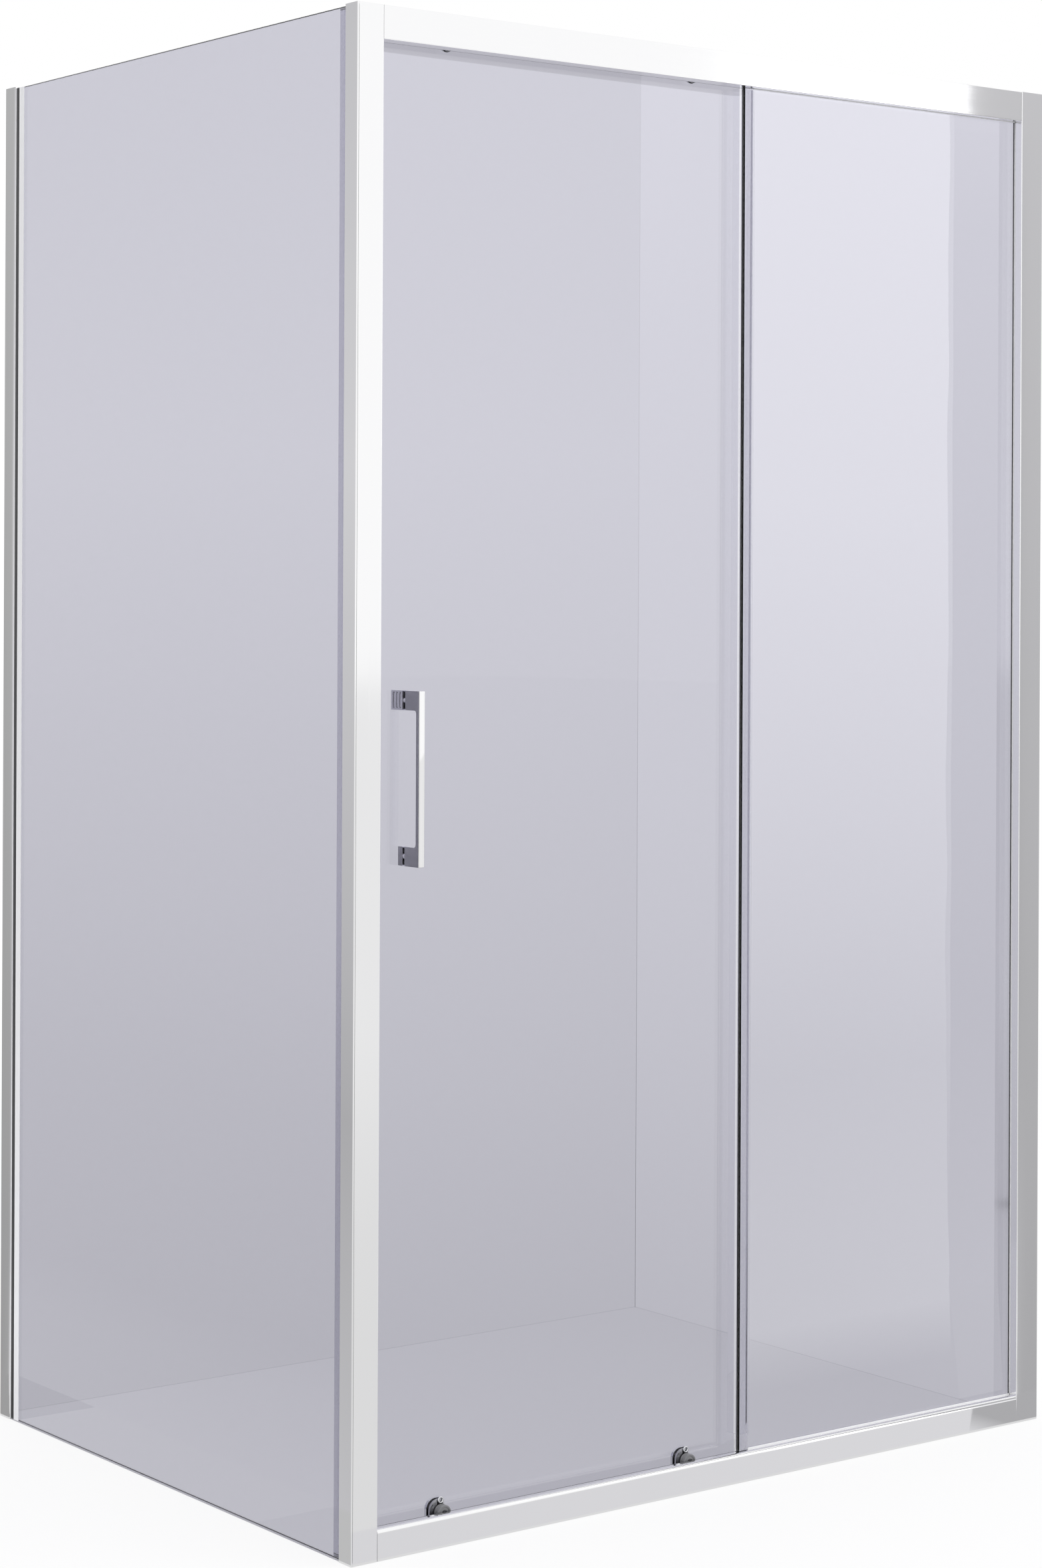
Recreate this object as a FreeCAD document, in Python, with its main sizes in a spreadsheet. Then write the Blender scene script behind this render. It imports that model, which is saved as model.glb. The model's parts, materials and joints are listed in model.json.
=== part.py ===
import FreeCAD, Part
import math
import os
from enum import IntEnum
from types import SimpleNamespace

import Sketcher

# Corner shower enclosure: a sliding door and a fixed panel in front, a fixed return panel on the left.
# Millimetres, +Z up. The origin is the middle of the footprint on the floor. The front faces -Y, the
# return panel stands at -X, and the room's walls would stand at +X and +Y.

SIZES = {
    # Whole enclosure
    "width": 1188.0,
    "depth": 894.0,
    "height": 1900.0,
    # Shared by the profiles
    "wall": 1.6,
    "edge_round": 1.0,
    "frame_depth": 48.0,
    "seam": 0.4,
    "joint_seam": 0.1,
    "fit_gap": 0.05,
    "slide_gap": 0.1,
    "running_gap": 0.3,
    "overrun": 2.0,
    # Glass and its seats
    "glass": 6.0,
    "gasket": 1.2,
    "glass_bite": 15.0,
    "glass_edge_gap": 1.0,
    "gasket_lip": 1.0,
    "setting_length": 40.0,
    "infill_height": 8.0,
    # Front-left corner
    "corner_edge": 2.0,
    "corner_lip": 26.4,
    "corner_web": 9.0,
    "corner_leg_gap": 0.6,
    "jamb_reach": 39.0,
    # Rails
    "top_rail_height": 42.0,
    "bottom_rail_height": 39.0,
    "rail_box": 13.0,
    "rail_round": 5.5,
    "rail_crest": 1.0,
    "rail_fall": 2.6,
    "top_rail_gap": 1.0,
    "rail_end_round": 3.5,
    "rail_rear_lip": 8.0,
    "bottom_rear_lip": 14.0,
    "bottom_leg_drop": 3.0,
    "track_floor": 6.0,
    "track_centre": 27.4,
    "track_level": 20.0,
    "track_flange": 2.0,
    "bead_width": 2.0,
    "bead_rise": 1.2,
    "key_length": 40.0,
    # Wall profiles
    "post_face": 42.0,
    "channel_leg": 18.4,
    "channel_reveal": 0.6,
    "left_post_face": 28.0,
    "left_post_width": 18.0,
    "left_post_round": 1.4,
    "left_channel_leg": 8.0,
    "wall_hole": 2.6,
    "wall_hole_inset": 150.0,
    "wall_hole_inner": 600.0,
    "cap_thickness": 2.0,
    # Return panel
    "return_top_gap": 2.0,
    "sill_seal": 2.0,
    "return_gasket_width": 8.5,
    "strip_width": 14.0,
    "strip_line": 2.5,
    "strip_thickness": 0.7,
    # Fixed panel
    "door_overlap": 30.0,
    "seal_leg": 0.8,
    "seal_face": 16.0,
    "seal_grip": 8.0,
    "fin_bottom": 60.0,
    # Door
    "door_front": 36.0,
    "door_left": 50.0,
    "door_width": 613.0,
    "door_bottom": 16.0,
    "door_top_drop": 10.0,
    "drip_height": 7.0,
    "drip_inset": 2.0,
    "magnet_width": 7.7,
    "jamb_strip_width": 3.0,
    "jamb_strip_depth": 12.0,
    "trailing_fin": 5.0,
    "trailing_bottom": 52.0,
    # Handle
    "handle_left": 99.0,
    "handle_width": 9.0,
    "handle_bottom": 843.0,
    "handle_length": 218.0,
    "handle_reach": 31.5,
    "handle_bar": 7.0,
    "standoff": 24.5,
    "handle_corner": 4.0,
    "handle_edge": 0.8,
    "pad": 0.8,
    "pad_inset": 1.5,
    "inner_block_depth": 25.2,
    "inner_cap_depth": 9.0,
    "rib_depth": 0.6,
    "rib_width": 3.6,
    "rib_length": 18.5,
    "handle_stud": 2.0,
    "handle_bush": 4.0,
    "stud_in_grip": 17.0,
    "stud_in_block": 11.0,
    "stud_in_cap": 5.5,
    # Rollers
    "roller_inset": 106.5,
    "wheel_radius": 8.5,
    "wheel_width": 7.0,
    "groove_depth": 0.9,
    "groove_width": 3.0,
    "axle_radius": 2.0,
    "axle_collar": 3.2,
    "axle_head": 0.7,
    "bracket_width": 18.0,
    "plate_thickness": 2.2,
    "top_stud": 2.9,
    "top_hole": 6.0,
    "top_cap_radius": 10.0,
    "top_cap_depth": 4.5,
    "top_cap_round": 1.5,
    "bottom_axle": 34.0,
    "bottom_wheel_radius": 10.0,
    "bottom_wheel_width": 8.6,
    "bottom_axle_radius": 2.5,
    "bottom_collar": 4.2,
    "plate_width": 22.5,
    "plate_reach": 16.0,
    "plate_bottom": 20.0,
    "plate_top": 50.0,
    "plate_round": 13.0,
    "plate_corner": 3.0,
    "plate_stud": 2.2,
    "plate_stud_offset": 11.0,
    "plate_stud_level": 27.0,
    "plate_stud_spacing": 15.0,
    "inner_plate_depth": 4.0,
    "slot_width": 9.0,
    "slot_bottom": 24.0,
    "slider_height": 15.0,
    "release_travel": 4.5,
    "spring_solid": 3.5,
    "spring_radius": 1.0,
    "spring_bore": 0.6,
    "neck_width": 4.8,
    "neck_thickness": 0.8,
    "neck_height": 7.0,
    "ring_radius": 3.4,
    "ring_wire": 1.0,
    # Stops and screws
    "door_open_gap": 55.0,
    "stop_length": 14.0,
    "stop_depth": 3.0,
    "stop_height": 13.4,
    "screw_radius": 2.0,
    "screw_head": 3.4,
    "screw_head_depth": 1.6,
    "corner_screw_length": 7.0,
    "rail_screw_length": 20.0,
    "channel_screw_length": 6.0,
}

# Heights of the screws and places of the setting blocks, as shares of the length that carries them
CORNER_SCREW_SHARES = (0.08, 0.36, 0.64, 0.92)
CHANNEL_SCREW_SHARES = (0.16, 0.5, 0.84)
SETTING_BLOCK_SHARES = (0.2, 0.8)
RIB_PLACE_SHARES = (0.2, 0.48, 0.76)

# Turns that lay the local Z axis along X or Y, with the other two axes following in order
DIAGONAL = FreeCAD.Vector(1, 1, 1)
TURNS = {
    "x": FreeCAD.Rotation(DIAGONAL, 120),
    "y": FreeCAD.Rotation(DIAGONAL, 240),
    "z": FreeCAD.Rotation(),
}


class Axis(IntEnum):
    """Sketcher's own numbers for a sketch's axes. The origin is the start of the one across."""

    ACROSS = -1
    UP = -2


class Spot(IntEnum):
    """Sketcher's own numbers for the ends of a line."""

    START = 1
    END = 2


class Size:
    """A length with its value now and its formula in the sheet's names."""

    def __init__(self, value, formula):
        self.value = value
        self.formula = formula

    def __add__(self, other):
        return Size(self.value + other.value, f"({self.formula} + {other.formula})")

    def __sub__(self, other):
        return Size(self.value - other.value, f"({self.formula} - {other.formula})")

    def __neg__(self):
        return Size(-self.value, f"(0 - {self.formula})")

    def __mul__(self, share):
        return Size(self.value * share, f"({self.formula} * {share})")

    def __truediv__(self, count):
        return Size(self.value / count, f"({self.formula} / {count})")


def make_sheet():
    """Write every driving size to the sheet under its name."""
    sheet = doc.addObject("Spreadsheet::Sheet", "Dims")
    for row, (name, value) in enumerate(SIZES.items(), start=1):
        sheet.set(f"A{row}", name)
        sheet.set(f"B{row}", str(value))
        sheet.setAlias(f"B{row}", name)
    doc.recompute()
    return SimpleNamespace(**{name: Size(value, f"Dims.{name}") for name, value in SIZES.items()})


def put(item, along, corner):
    """Turn an object so that its Z runs along an axis, and bind its corner to the sheet."""
    item.Placement = FreeCAD.Placement(FreeCAD.Vector(), TURNS[along])
    for axis, size in zip("xyz", corner):
        item.setExpression(f"Placement.Base.{axis}", size.formula)
    return item


def hold(sketch, line, end, place):
    """Fix one end of a line at a place measured from the sketch's origin."""
    for kind, zero_axis, size in (("DistanceX", Axis.UP, place[0]), ("DistanceY", Axis.ACROSS, place[1])):
        if size is ZERO:
            sketch.addConstraint(Sketcher.Constraint("PointOnObject", line, end, zero_axis))
            continue
        rule = Sketcher.Constraint(kind, Axis.ACROSS, Spot.START, line, end, size.value)
        number = sketch.addConstraint(rule)
        sketch.setExpression(f"Constraints[{number}]", size.formula)


def moved(size, radius, towards):
    """A coordinate moved by the radius towards another one, if they differ."""
    if towards.value > size.value:
        return size + radius
    if towards.value < size.value:
        return size - radius
    return size


def vector(place):
    return FreeCAD.Vector(place[0].value, place[1].value, 0)


def round_corner(sketch, before, after, way_in, corner, way_out):
    """Join two lines that stop short of a right-angled corner by an arc of the corner's radius."""
    tip = vector(corner)
    first = vector(way_in)
    last = vector(way_out)
    centre = first + last - tip
    ends = [(first, before, Spot.END), (last, after, Spot.START)]
    if (tip - first).cross(last - tip).z < 0:
        ends.reverse()
    angles = [math.atan2(spot.y - centre.y, spot.x - centre.x) for spot, line, end in ends]
    circle = Part.Circle(centre, FreeCAD.Vector(0, 0, 1), corner[2].value)
    arc = sketch.addGeometry(Part.ArcOfCircle(circle, *angles), False)
    for arc_end, (spot, line, end) in zip((Spot.START, Spot.END), ends):
        sketch.addConstraint(Sketcher.Constraint("Coincident", arc, arc_end, line, end))
    number = sketch.addConstraint(Sketcher.Constraint("Radius", arc, corner[2].value))
    sketch.setExpression(f"Constraints[{number}]", corner[2].formula)


def draw_outline(sketch, corners):
    """Draw a closed outline. A corner is (x, y), or (x, y, radius) where a right angle is rounded."""
    count = len(corners)
    ways = []
    for index, corner in enumerate(corners):
        around = (corners[index - 1], corners[(index + 1) % count])
        if len(corner) == 2:
            ways.append((corner, corner))
            continue
        ways.append([tuple(moved(corner[k], corner[2], other[k]) for k in (0, 1)) for other in around])
    lines = []
    for index in range(count):
        start = ways[index][1]
        end = ways[(index + 1) % count][0]
        line = sketch.addGeometry(Part.LineSegment(vector(start), vector(end)), False)
        hold(sketch, line, Spot.START, start)
        lines.append(line)
    for index, corner in enumerate(corners):
        before, after = lines[index - 1], lines[index]
        if len(corner) == 2:
            sketch.addConstraint(Sketcher.Constraint("Coincident", before, Spot.END, after, Spot.START))
            continue
        way_in, way_out = ways[index]
        hold(sketch, before, Spot.END, way_in)
        round_corner(sketch, before, after, way_in, corner, way_out)


def sketched_body(label, outlines):
    """A body with one sketch on its own XY plane. A second outline inside the first is a hollow."""
    body = doc.addObject("PartDesign::Body", label)
    sketch = body.newObject("Sketcher::SketchObject", f"{label}_section")
    plane = [feature for feature in body.Origin.OriginFeatures if feature.Role == "XY_Plane"][0]
    sketch.AttachmentSupport = [(plane, "")]
    sketch.MapMode = "FlatFace"
    for corners in outlines:
        draw_outline(sketch, corners)
    return body, sketch


def extrusion(label, along, corner, length, *outlines):
    """A drawn section carried along an axis. Sections read (x, y), (y, z) or (z, x) in that order."""
    body, sketch = sketched_body(label, outlines)
    pad = body.newObject("PartDesign::Pad", f"{label}_pad")
    pad.Profile = sketch
    pad.setExpression("Length", length.formula)
    return put(body, along, corner)


def turned(label, centre, *outlines):
    """A section of (radius, y) turned about the Y axis."""
    body, sketch = sketched_body(label, outlines)
    turning = body.newObject("PartDesign::Revolution", f"{label}_turn")
    turning.Profile = sketch
    turning.ReferenceAxis = (sketch, ["V_Axis"])
    return put(body, "z", centre)


def block(label, *spans):
    """A box given by its low and high place along X, Y and Z."""
    item = doc.addObject("Part::Box", label)
    for name, (low, high) in zip(("Length", "Width", "Height"), spans):
        item.setExpression(name, (high - low).formula)
    return put(item, "z", [low for low, high in spans])


def rod(label, along, start, length, radius):
    """A round bar from the centre of its first end."""
    item = doc.addObject("Part::Cylinder", label)
    item.setExpression("Radius", radius.formula)
    item.setExpression("Height", length.formula)
    return put(item, along, start)


def fused(label, *items):
    whole = doc.addObject("Part::MultiFuse", label)
    whole.Shapes = list(items)
    return whole


def drilled(label, base, tools):
    """A piece with the tools' shapes taken out of it."""
    whole = doc.addObject("Part::Cut", label)
    whole.Base = base
    whole.Tool = tools[0] if len(tools) == 1 else fused(f"{label}_cuts", *tools)
    return whole


def group(label, items):
    """Like pieces that share one name."""
    whole = doc.addObject("Part::Compound", label)
    whole.Links = list(items)
    return whole


def screw(label, along, seat, way, length):
    """A pan-head screw whose head stands on its seat and whose shank runs the given way."""
    index = "xyz".index(along)
    head_start = list(seat)
    shank_start = list(seat)
    if way > 0:
        head_start[index] = seat[index] - d.screw_head_depth
    else:
        shank_start[index] = seat[index] - length
    head = rod(f"{label}_head", along, head_start, d.screw_head_depth, d.screw_head)
    shank = rod(f"{label}_shank", along, shank_start, length, d.screw_radius)
    return fused(label, head, shank)


def screw_holes(label, along, seats, reach):
    """Clearance holes on both sides of each screw's seat."""
    index = "xyz".index(along)
    holes = []
    for number, seat in enumerate(seats):
        start = list(seat)
        start[index] = seat[index] - reach
        holes.append(rod(f"{label}_{number}", along, start, reach + reach, d.screw_radius + d.fit_gap))
    return holes


def keep(*items):
    pieces.extend(items)


doc = FreeCAD.newDocument("shower_enclosure")
ZERO = Size(0.0, "0")
d = make_sheet()
pieces = []

# Places shared by several pieces
left = -(d.width / 2)
right = d.width / 2
front = -(d.depth / 2)
rear = d.depth / 2
top = d.height
back_of_frame = front + d.frame_depth
return_face = left + d.wall
return_back = return_face + d.glass
jamb_inner = left + d.jamb_reach
post_left = right - d.post_face
left_post_front = rear - d.left_post_face
rail_bottom = top - d.top_rail_height
rail_start = jamb_inner + d.joint_seam
top_rail_end = post_left - d.top_rail_gap
bottom_rail_end = post_left - d.joint_seam
slot_front = d.rail_box
slot_back = d.rail_box + d.gasket + d.glass
slot_depth = d.glass_bite + d.glass_edge_gap
fixed_face = front + d.rail_box + d.gasket
fixed_back = fixed_face + d.glass
door_face = front + d.door_front
door_back = door_face + d.glass
door_left = left + d.door_left
door_right = door_left + d.door_width
door_top = top - d.door_top_drop
door_travel = right - door_right - d.door_open_gap
fixed_left = door_right - d.door_overlap
handle_left = left + d.handle_left
handle_centre = handle_left + d.handle_width / 2
handle_top = d.handle_bottom + d.handle_length
plate_back = door_face - d.pad
plate_front = plate_back - d.plate_thickness
track_line = front + d.track_centre
bead_near = d.track_centre - d.bead_width / 2
bead_far = d.track_centre + d.bead_width / 2
flange_top = rail_bottom + d.track_level
flange_bottom = flange_top - d.track_flange
groove_radius = d.wheel_radius - d.groove_depth
upper_axle = flange_top + d.bead_rise + d.running_gap + groove_radius
lower_axle = flange_bottom - d.bead_rise - d.running_gap - groove_radius
stud_level = (upper_axle + lower_axle) / 2
rib_top = d.bottom_axle - d.bottom_wheel_radius + d.groove_depth - d.running_gap
slider_top = d.slot_bottom + d.slider_height
slot_top = slider_top + d.release_travel + d.spring_solid
rollers = {"left": door_left + d.roller_inset, "right": door_right - d.roller_inset}
seal_bottom = d.bottom_rail_height + d.seam
seal_top = rail_bottom - d.seam

# Seats of the screws
corner_screw_line = front + (d.wall + d.corner_leg_gap + d.corner_web) / 2
jamb_left = return_back + d.gasket + d.wall
corner_seats = [(jamb_left + d.wall, corner_screw_line, d.height * share) for share in CORNER_SCREW_SHARES]
rail_screw_line = front + d.rail_box / 2
rail_screw_levels = (d.bottom_rail_height / 2, rail_bottom + d.top_rail_height / 2)
jamb_seats = [(jamb_inner - d.wall, rail_screw_line, level) for level in rail_screw_levels]
post_seats = [(post_left + d.wall, rail_screw_line, level) for level in rail_screw_levels]
right_screw_line = right - d.wall - d.channel_leg / 2
left_screw_line = rear - d.wall - d.left_channel_leg / 2
right_seats = [(right_screw_line, back_of_frame, d.height * share) for share in CHANNEL_SCREW_SHARES]
left_seats = [(left + d.left_post_width, left_screw_line, d.height * share) for share in CHANNEL_SCREW_SHARES]
wall_hole_levels = [
    d.wall_hole_inset,
    d.height - d.wall_hole_inset,
    (d.height - d.wall_hole_inner) / 2,
    (d.height + d.wall_hole_inner) / 2,
]


def make_corner():
    """The two profiles of the front-left corner and the screws that join them."""
    pocket = d.wall + d.glass + d.gasket
    pocket_back = pocket + d.wall
    leg = d.wall + d.corner_leg_gap
    web_back = d.corner_web + d.wall
    post = extrusion("corner_post_blank", "z", (left, front, ZERO), d.height, [
        (ZERO, ZERO, d.edge_round),
        (d.corner_edge, ZERO),
        (d.corner_edge, d.corner_web),
        (pocket, d.corner_web),
        (pocket, leg),
        (pocket_back, leg),
        (pocket_back, d.corner_lip),
        (pocket, d.corner_lip),
        (pocket, web_back),
        (d.wall, web_back),
        (d.wall, d.corner_lip),
        (ZERO, d.corner_lip),
    ])
    jamb_start = d.corner_edge + d.seam
    flange = pocket_back - jamb_start
    reach = d.jamb_reach - jamb_start
    jamb = extrusion("door_jamb_blank", "z", (left + jamb_start, front, ZERO), d.height, [
        (ZERO, ZERO),
        (reach, ZERO, d.edge_round),
        (reach, d.frame_depth),
        (flange, d.frame_depth),
        (flange, d.wall),
        (ZERO, d.wall),
    ], [
        (flange + d.wall, d.wall),
        (reach - d.wall, d.wall),
        (reach - d.wall, d.frame_depth - d.wall),
        (flange + d.wall, d.frame_depth - d.wall),
    ])
    reach_of_hole = d.wall + d.wall + d.slide_gap
    keep(drilled("corner_post", post, screw_holes("corner_post_hole", "x", corner_seats, reach_of_hole)))
    jamb_holes = screw_holes("jamb_corner_hole", "x", corner_seats, reach_of_hole)
    jamb_holes += screw_holes("jamb_rail_hole", "x", jamb_seats, d.wall + d.slide_gap)
    keep(drilled("door_jamb", jamb, jamb_holes))
    keep(group("corner_screws", [
        screw(f"corner_screw_{number}", "x", seat, -1, d.corner_screw_length)
        for number, seat in enumerate(corner_seats)
    ]))


def make_rounding_cut():
    """What is left of a square outside a quarter round, at the top rail's lower right corner."""
    radius = d.rail_end_round
    x = top_rail_end - radius
    z = rail_bottom + radius
    y_span = (front - d.overrun, front + d.rail_box)
    square = block("rail_corner_square", (x, top_rail_end + d.overrun), y_span, (rail_bottom - d.overrun, z))
    disc = rod("rail_corner_disc", "y", (x, y_span[0], z), y_span[1] - y_span[0], radius)
    return drilled("rail_corner_cut", square, [disc])


def make_rails():
    """The top and bottom tracks, the strips in their empty glass slots, and their end keys and screws."""
    tall = d.top_rail_height
    ceiling = tall - d.wall
    leg_back = slot_back + d.wall
    flange_under = d.track_level - d.track_flange
    bead_under = flange_under - d.bead_rise
    bead_over = d.track_level + d.bead_rise
    lip = d.frame_depth - d.wall
    top_length = top_rail_end - rail_start
    blank = extrusion("top_rail_blank", "x", (rail_start, front, rail_bottom), top_length, [
        (ZERO, ZERO, d.edge_round),
        (slot_front, ZERO),
        (slot_front, ceiling),
        (slot_back, ceiling),
        (slot_back, ZERO),
        (leg_back, ZERO),
        (leg_back, flange_under),
        (bead_near, flange_under),
        (bead_near, bead_under),
        (bead_far, bead_under),
        (bead_far, bead_over),
        (bead_near, bead_over),
        (bead_near, d.track_level),
        (leg_back, d.track_level),
        (leg_back, ceiling),
        (lip, ceiling),
        (lip, tall - d.rail_rear_lip),
        (d.frame_depth, tall - d.rail_rear_lip),
        (d.frame_depth, tall),
        (ZERO, tall, d.edge_round),
    ], [
        (d.wall, d.wall),
        (slot_front - d.wall, d.wall),
        (slot_front - d.wall, ceiling),
        (d.wall, ceiling),
    ])
    keep(drilled("top_rail", blank, [make_rounding_cut()]))
    low = d.bottom_rail_height
    back_low = low - d.rail_fall
    crest = d.rail_round + d.rail_crest
    slot_floor = low - slot_depth
    bottom_length = bottom_rail_end - rail_start
    keep(extrusion("bottom_rail", "x", (rail_start, front, ZERO), bottom_length, [
        (ZERO, ZERO),
        (d.frame_depth, ZERO),
        (d.frame_depth, d.bottom_rear_lip),
        (lip, d.bottom_rear_lip),
        (lip, d.track_floor),
        (bead_far, d.track_floor),
        (bead_far, rib_top),
        (bead_near, rib_top),
        (bead_near, d.track_floor),
        (leg_back, d.track_floor),
        (leg_back, low - d.bottom_leg_drop),
        (slot_back, low - d.bottom_leg_drop),
        (slot_back, slot_floor),
        (slot_front, slot_floor),
        (slot_front, back_low),
        (crest, low),
        (ZERO, low, d.rail_round),
    ], [
        (d.wall, d.wall),
        (slot_front - d.wall, d.wall),
        (slot_front - d.wall, back_low - d.wall),
        (crest, low - d.wall),
        (d.wall, low - d.wall, d.rail_round - d.wall),
    ], [
        (slot_front, d.wall),
        (slot_back, d.wall),
        (slot_back, slot_floor - d.wall),
        (slot_front, slot_floor - d.wall),
    ], [
        (leg_back, d.wall),
        (lip, d.wall),
        (lip, d.track_floor - d.wall),
        (leg_back, d.track_floor - d.wall),
    ]))
    infill_top = low - d.bottom_leg_drop
    x_span = (rail_start, fixed_left - d.seam)
    y_span = (front + slot_front + d.slide_gap, front + slot_back - d.slide_gap)
    keep(group("slot_infills", [
        block("top_infill", x_span, y_span, (rail_bottom, rail_bottom + d.infill_height)),
        block("bottom_infill", x_span, y_span, (infill_top - d.infill_height, infill_top)),
    ]))
    inset = d.wall + d.slide_gap
    levels = {
        "bottom": (inset, low - d.rail_round),
        "top": (rail_bottom + inset, rail_bottom + ceiling - d.slide_gap),
    }
    right_end = top_rail_end - d.rail_end_round
    spans = {
        "left": (rail_start, rail_start + d.key_length),
        "right": (right_end - d.key_length, right_end),
    }
    keys = []
    for side, seats in (("left", jamb_seats), ("right", post_seats)):
        for (name, level), seat in zip(levels.items(), seats):
            label = f"{name}_{side}_key"
            blank = block(f"{label}_blank", spans[side], (front + inset, front + d.rail_box - inset), level)
            holes = screw_holes(f"{label}_hole", "x", [seat], d.rail_screw_length + d.overrun)
            keys.append(drilled(label, blank, holes))
    keep(group("rail_end_keys", keys))
    screws = [(seat, 1) for seat in jamb_seats] + [(seat, -1) for seat in post_seats]
    keep(group("rail_screws", [
        screw(f"rail_screw_{number}", "x", seat, way, d.rail_screw_length)
        for number, (seat, way) in enumerate(screws)
    ]))


def make_right_wall():
    """The wall channel on the right and the post that covers it and takes the fixed glass."""
    face = d.post_face - d.wall
    deep = d.frame_depth
    slot_end = slot_depth + d.wall
    post = extrusion("right_wall_post_blank", "z", (post_left, front, ZERO), d.height, [
        (ZERO, ZERO, d.edge_round),
        (face, ZERO),
        (face, d.wall),
        (d.wall, d.wall),
        (d.wall, slot_front - d.wall),
        (slot_end, slot_front - d.wall),
        (slot_end, slot_back + d.wall),
        (d.wall, slot_back + d.wall),
        (d.wall, deep - d.wall),
        (face, deep - d.wall),
        (face, deep),
        (ZERO, deep),
        (ZERO, slot_back),
        (slot_depth, slot_back),
        (slot_depth, slot_front),
        (ZERO, slot_front),
    ])
    leg = d.channel_leg
    base = leg + d.wall
    broad = deep - d.channel_reveal * 2
    outer = d.wall - d.channel_reveal
    inner = outer + d.wall
    corner = (right - base, front + d.channel_reveal, ZERO)
    channel = extrusion("right_wall_channel_blank", "z", corner, d.height, [
        (leg, ZERO),
        (base, ZERO),
        (base, broad),
        (leg, broad),
        (leg, broad - outer),
        (ZERO, broad - outer),
        (ZERO, broad - inner),
        (leg, broad - inner),
        (leg, inner),
        (ZERO, inner),
        (ZERO, outer),
        (leg, outer),
    ])
    reach = d.wall + d.wall + d.slide_gap
    post_holes = screw_holes("right_post_hole", "y", right_seats, reach)
    post_holes += screw_holes("right_post_rail_hole", "x", post_seats, d.wall + d.slide_gap)
    keep(drilled("right_wall_post", post, post_holes))
    channel_holes = screw_holes("right_channel_hole", "y", right_seats, reach)
    channel_holes += [
        rod(f"right_wall_hole_{number}", "x", (right - d.wall - d.overrun, front + deep / 2, level),
            d.wall + d.overrun * 2, d.wall_hole)
        for number, level in enumerate(wall_hole_levels)
    ]
    keep(drilled("right_wall_channel", channel, channel_holes))


def make_left_wall():
    """The wall channel at the rear of the return panel and the post that covers it."""
    broad = d.left_post_width
    long = d.left_post_face - d.wall
    pocket = d.wall + d.glass + d.gasket
    pocket_back = pocket + d.wall
    slot_end = slot_depth + d.wall
    post = extrusion("left_wall_post_blank", "z", (left, left_post_front, ZERO), d.height, [
        (ZERO, ZERO, d.left_post_round),
        (d.wall, ZERO),
        (d.wall, slot_depth),
        (pocket, slot_depth),
        (pocket, ZERO),
        (broad, ZERO, d.edge_round),
        (broad, long),
        (broad - d.wall, long),
        (broad - d.wall, d.wall),
        (pocket_back, d.wall),
        (pocket_back, slot_end),
        (d.wall, slot_end),
        (d.wall, long),
        (ZERO, long),
    ])
    leg = d.left_channel_leg
    base = leg + d.wall
    across = broad - d.channel_reveal * 2
    outer = d.wall - d.channel_reveal
    inner = outer + d.wall
    corner = (left + d.channel_reveal, rear - base, ZERO)
    channel = extrusion("left_wall_channel_blank", "z", corner, d.height, [
        (ZERO, leg),
        (outer, leg),
        (outer, ZERO),
        (inner, ZERO),
        (inner, leg),
        (across - inner, leg),
        (across - inner, ZERO),
        (across - outer, ZERO),
        (across - outer, leg),
        (across, leg),
        (across, base),
        (ZERO, base),
    ])
    reach = d.wall + d.wall + d.slide_gap
    keep(drilled("left_wall_post", post, screw_holes("left_post_hole", "x", left_seats, reach)))
    channel_holes = screw_holes("left_channel_hole", "x", left_seats, reach)
    channel_holes += [
        rod(f"left_wall_hole_{number}", "y", (left + broad / 2, rear - d.wall - d.overrun, level),
            d.wall + d.overrun * 2, d.wall_hole)
        for number, level in enumerate(wall_hole_levels)
    ]
    keep(drilled("left_wall_channel", channel, channel_holes))


def make_wall_fixings():
    """Screws that join each wall post to its channel, and the caps in the tops of the profiles."""
    screws = [screw(f"right_post_screw_{number}", "y", seat, -1, d.channel_screw_length)
              for number, seat in enumerate(right_seats)]
    screws += [screw(f"left_post_screw_{number}", "x", seat, -1, d.channel_screw_length)
               for number, seat in enumerate(left_seats)]
    keep(group("post_screws", screws))
    level = (top - d.cap_thickness, top)
    inset = d.wall + d.slide_gap
    twice = inset + d.wall
    jamb_cap = block(
        "jamb_cap", (jamb_left + inset, jamb_inner - inset), (front + inset, back_of_frame - inset), level)
    right_cap = block(
        "right_post_cap", (post_left + slot_depth + inset, right - inset),
        (front + twice, back_of_frame - twice), level)
    left_cap = block(
        "left_post_cap", (left + twice, left + d.left_post_width - twice),
        (left_post_front + slot_depth + inset, rear - inset), level)
    keep(group("profile_caps", [jamb_cap, right_cap, left_cap]))


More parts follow.
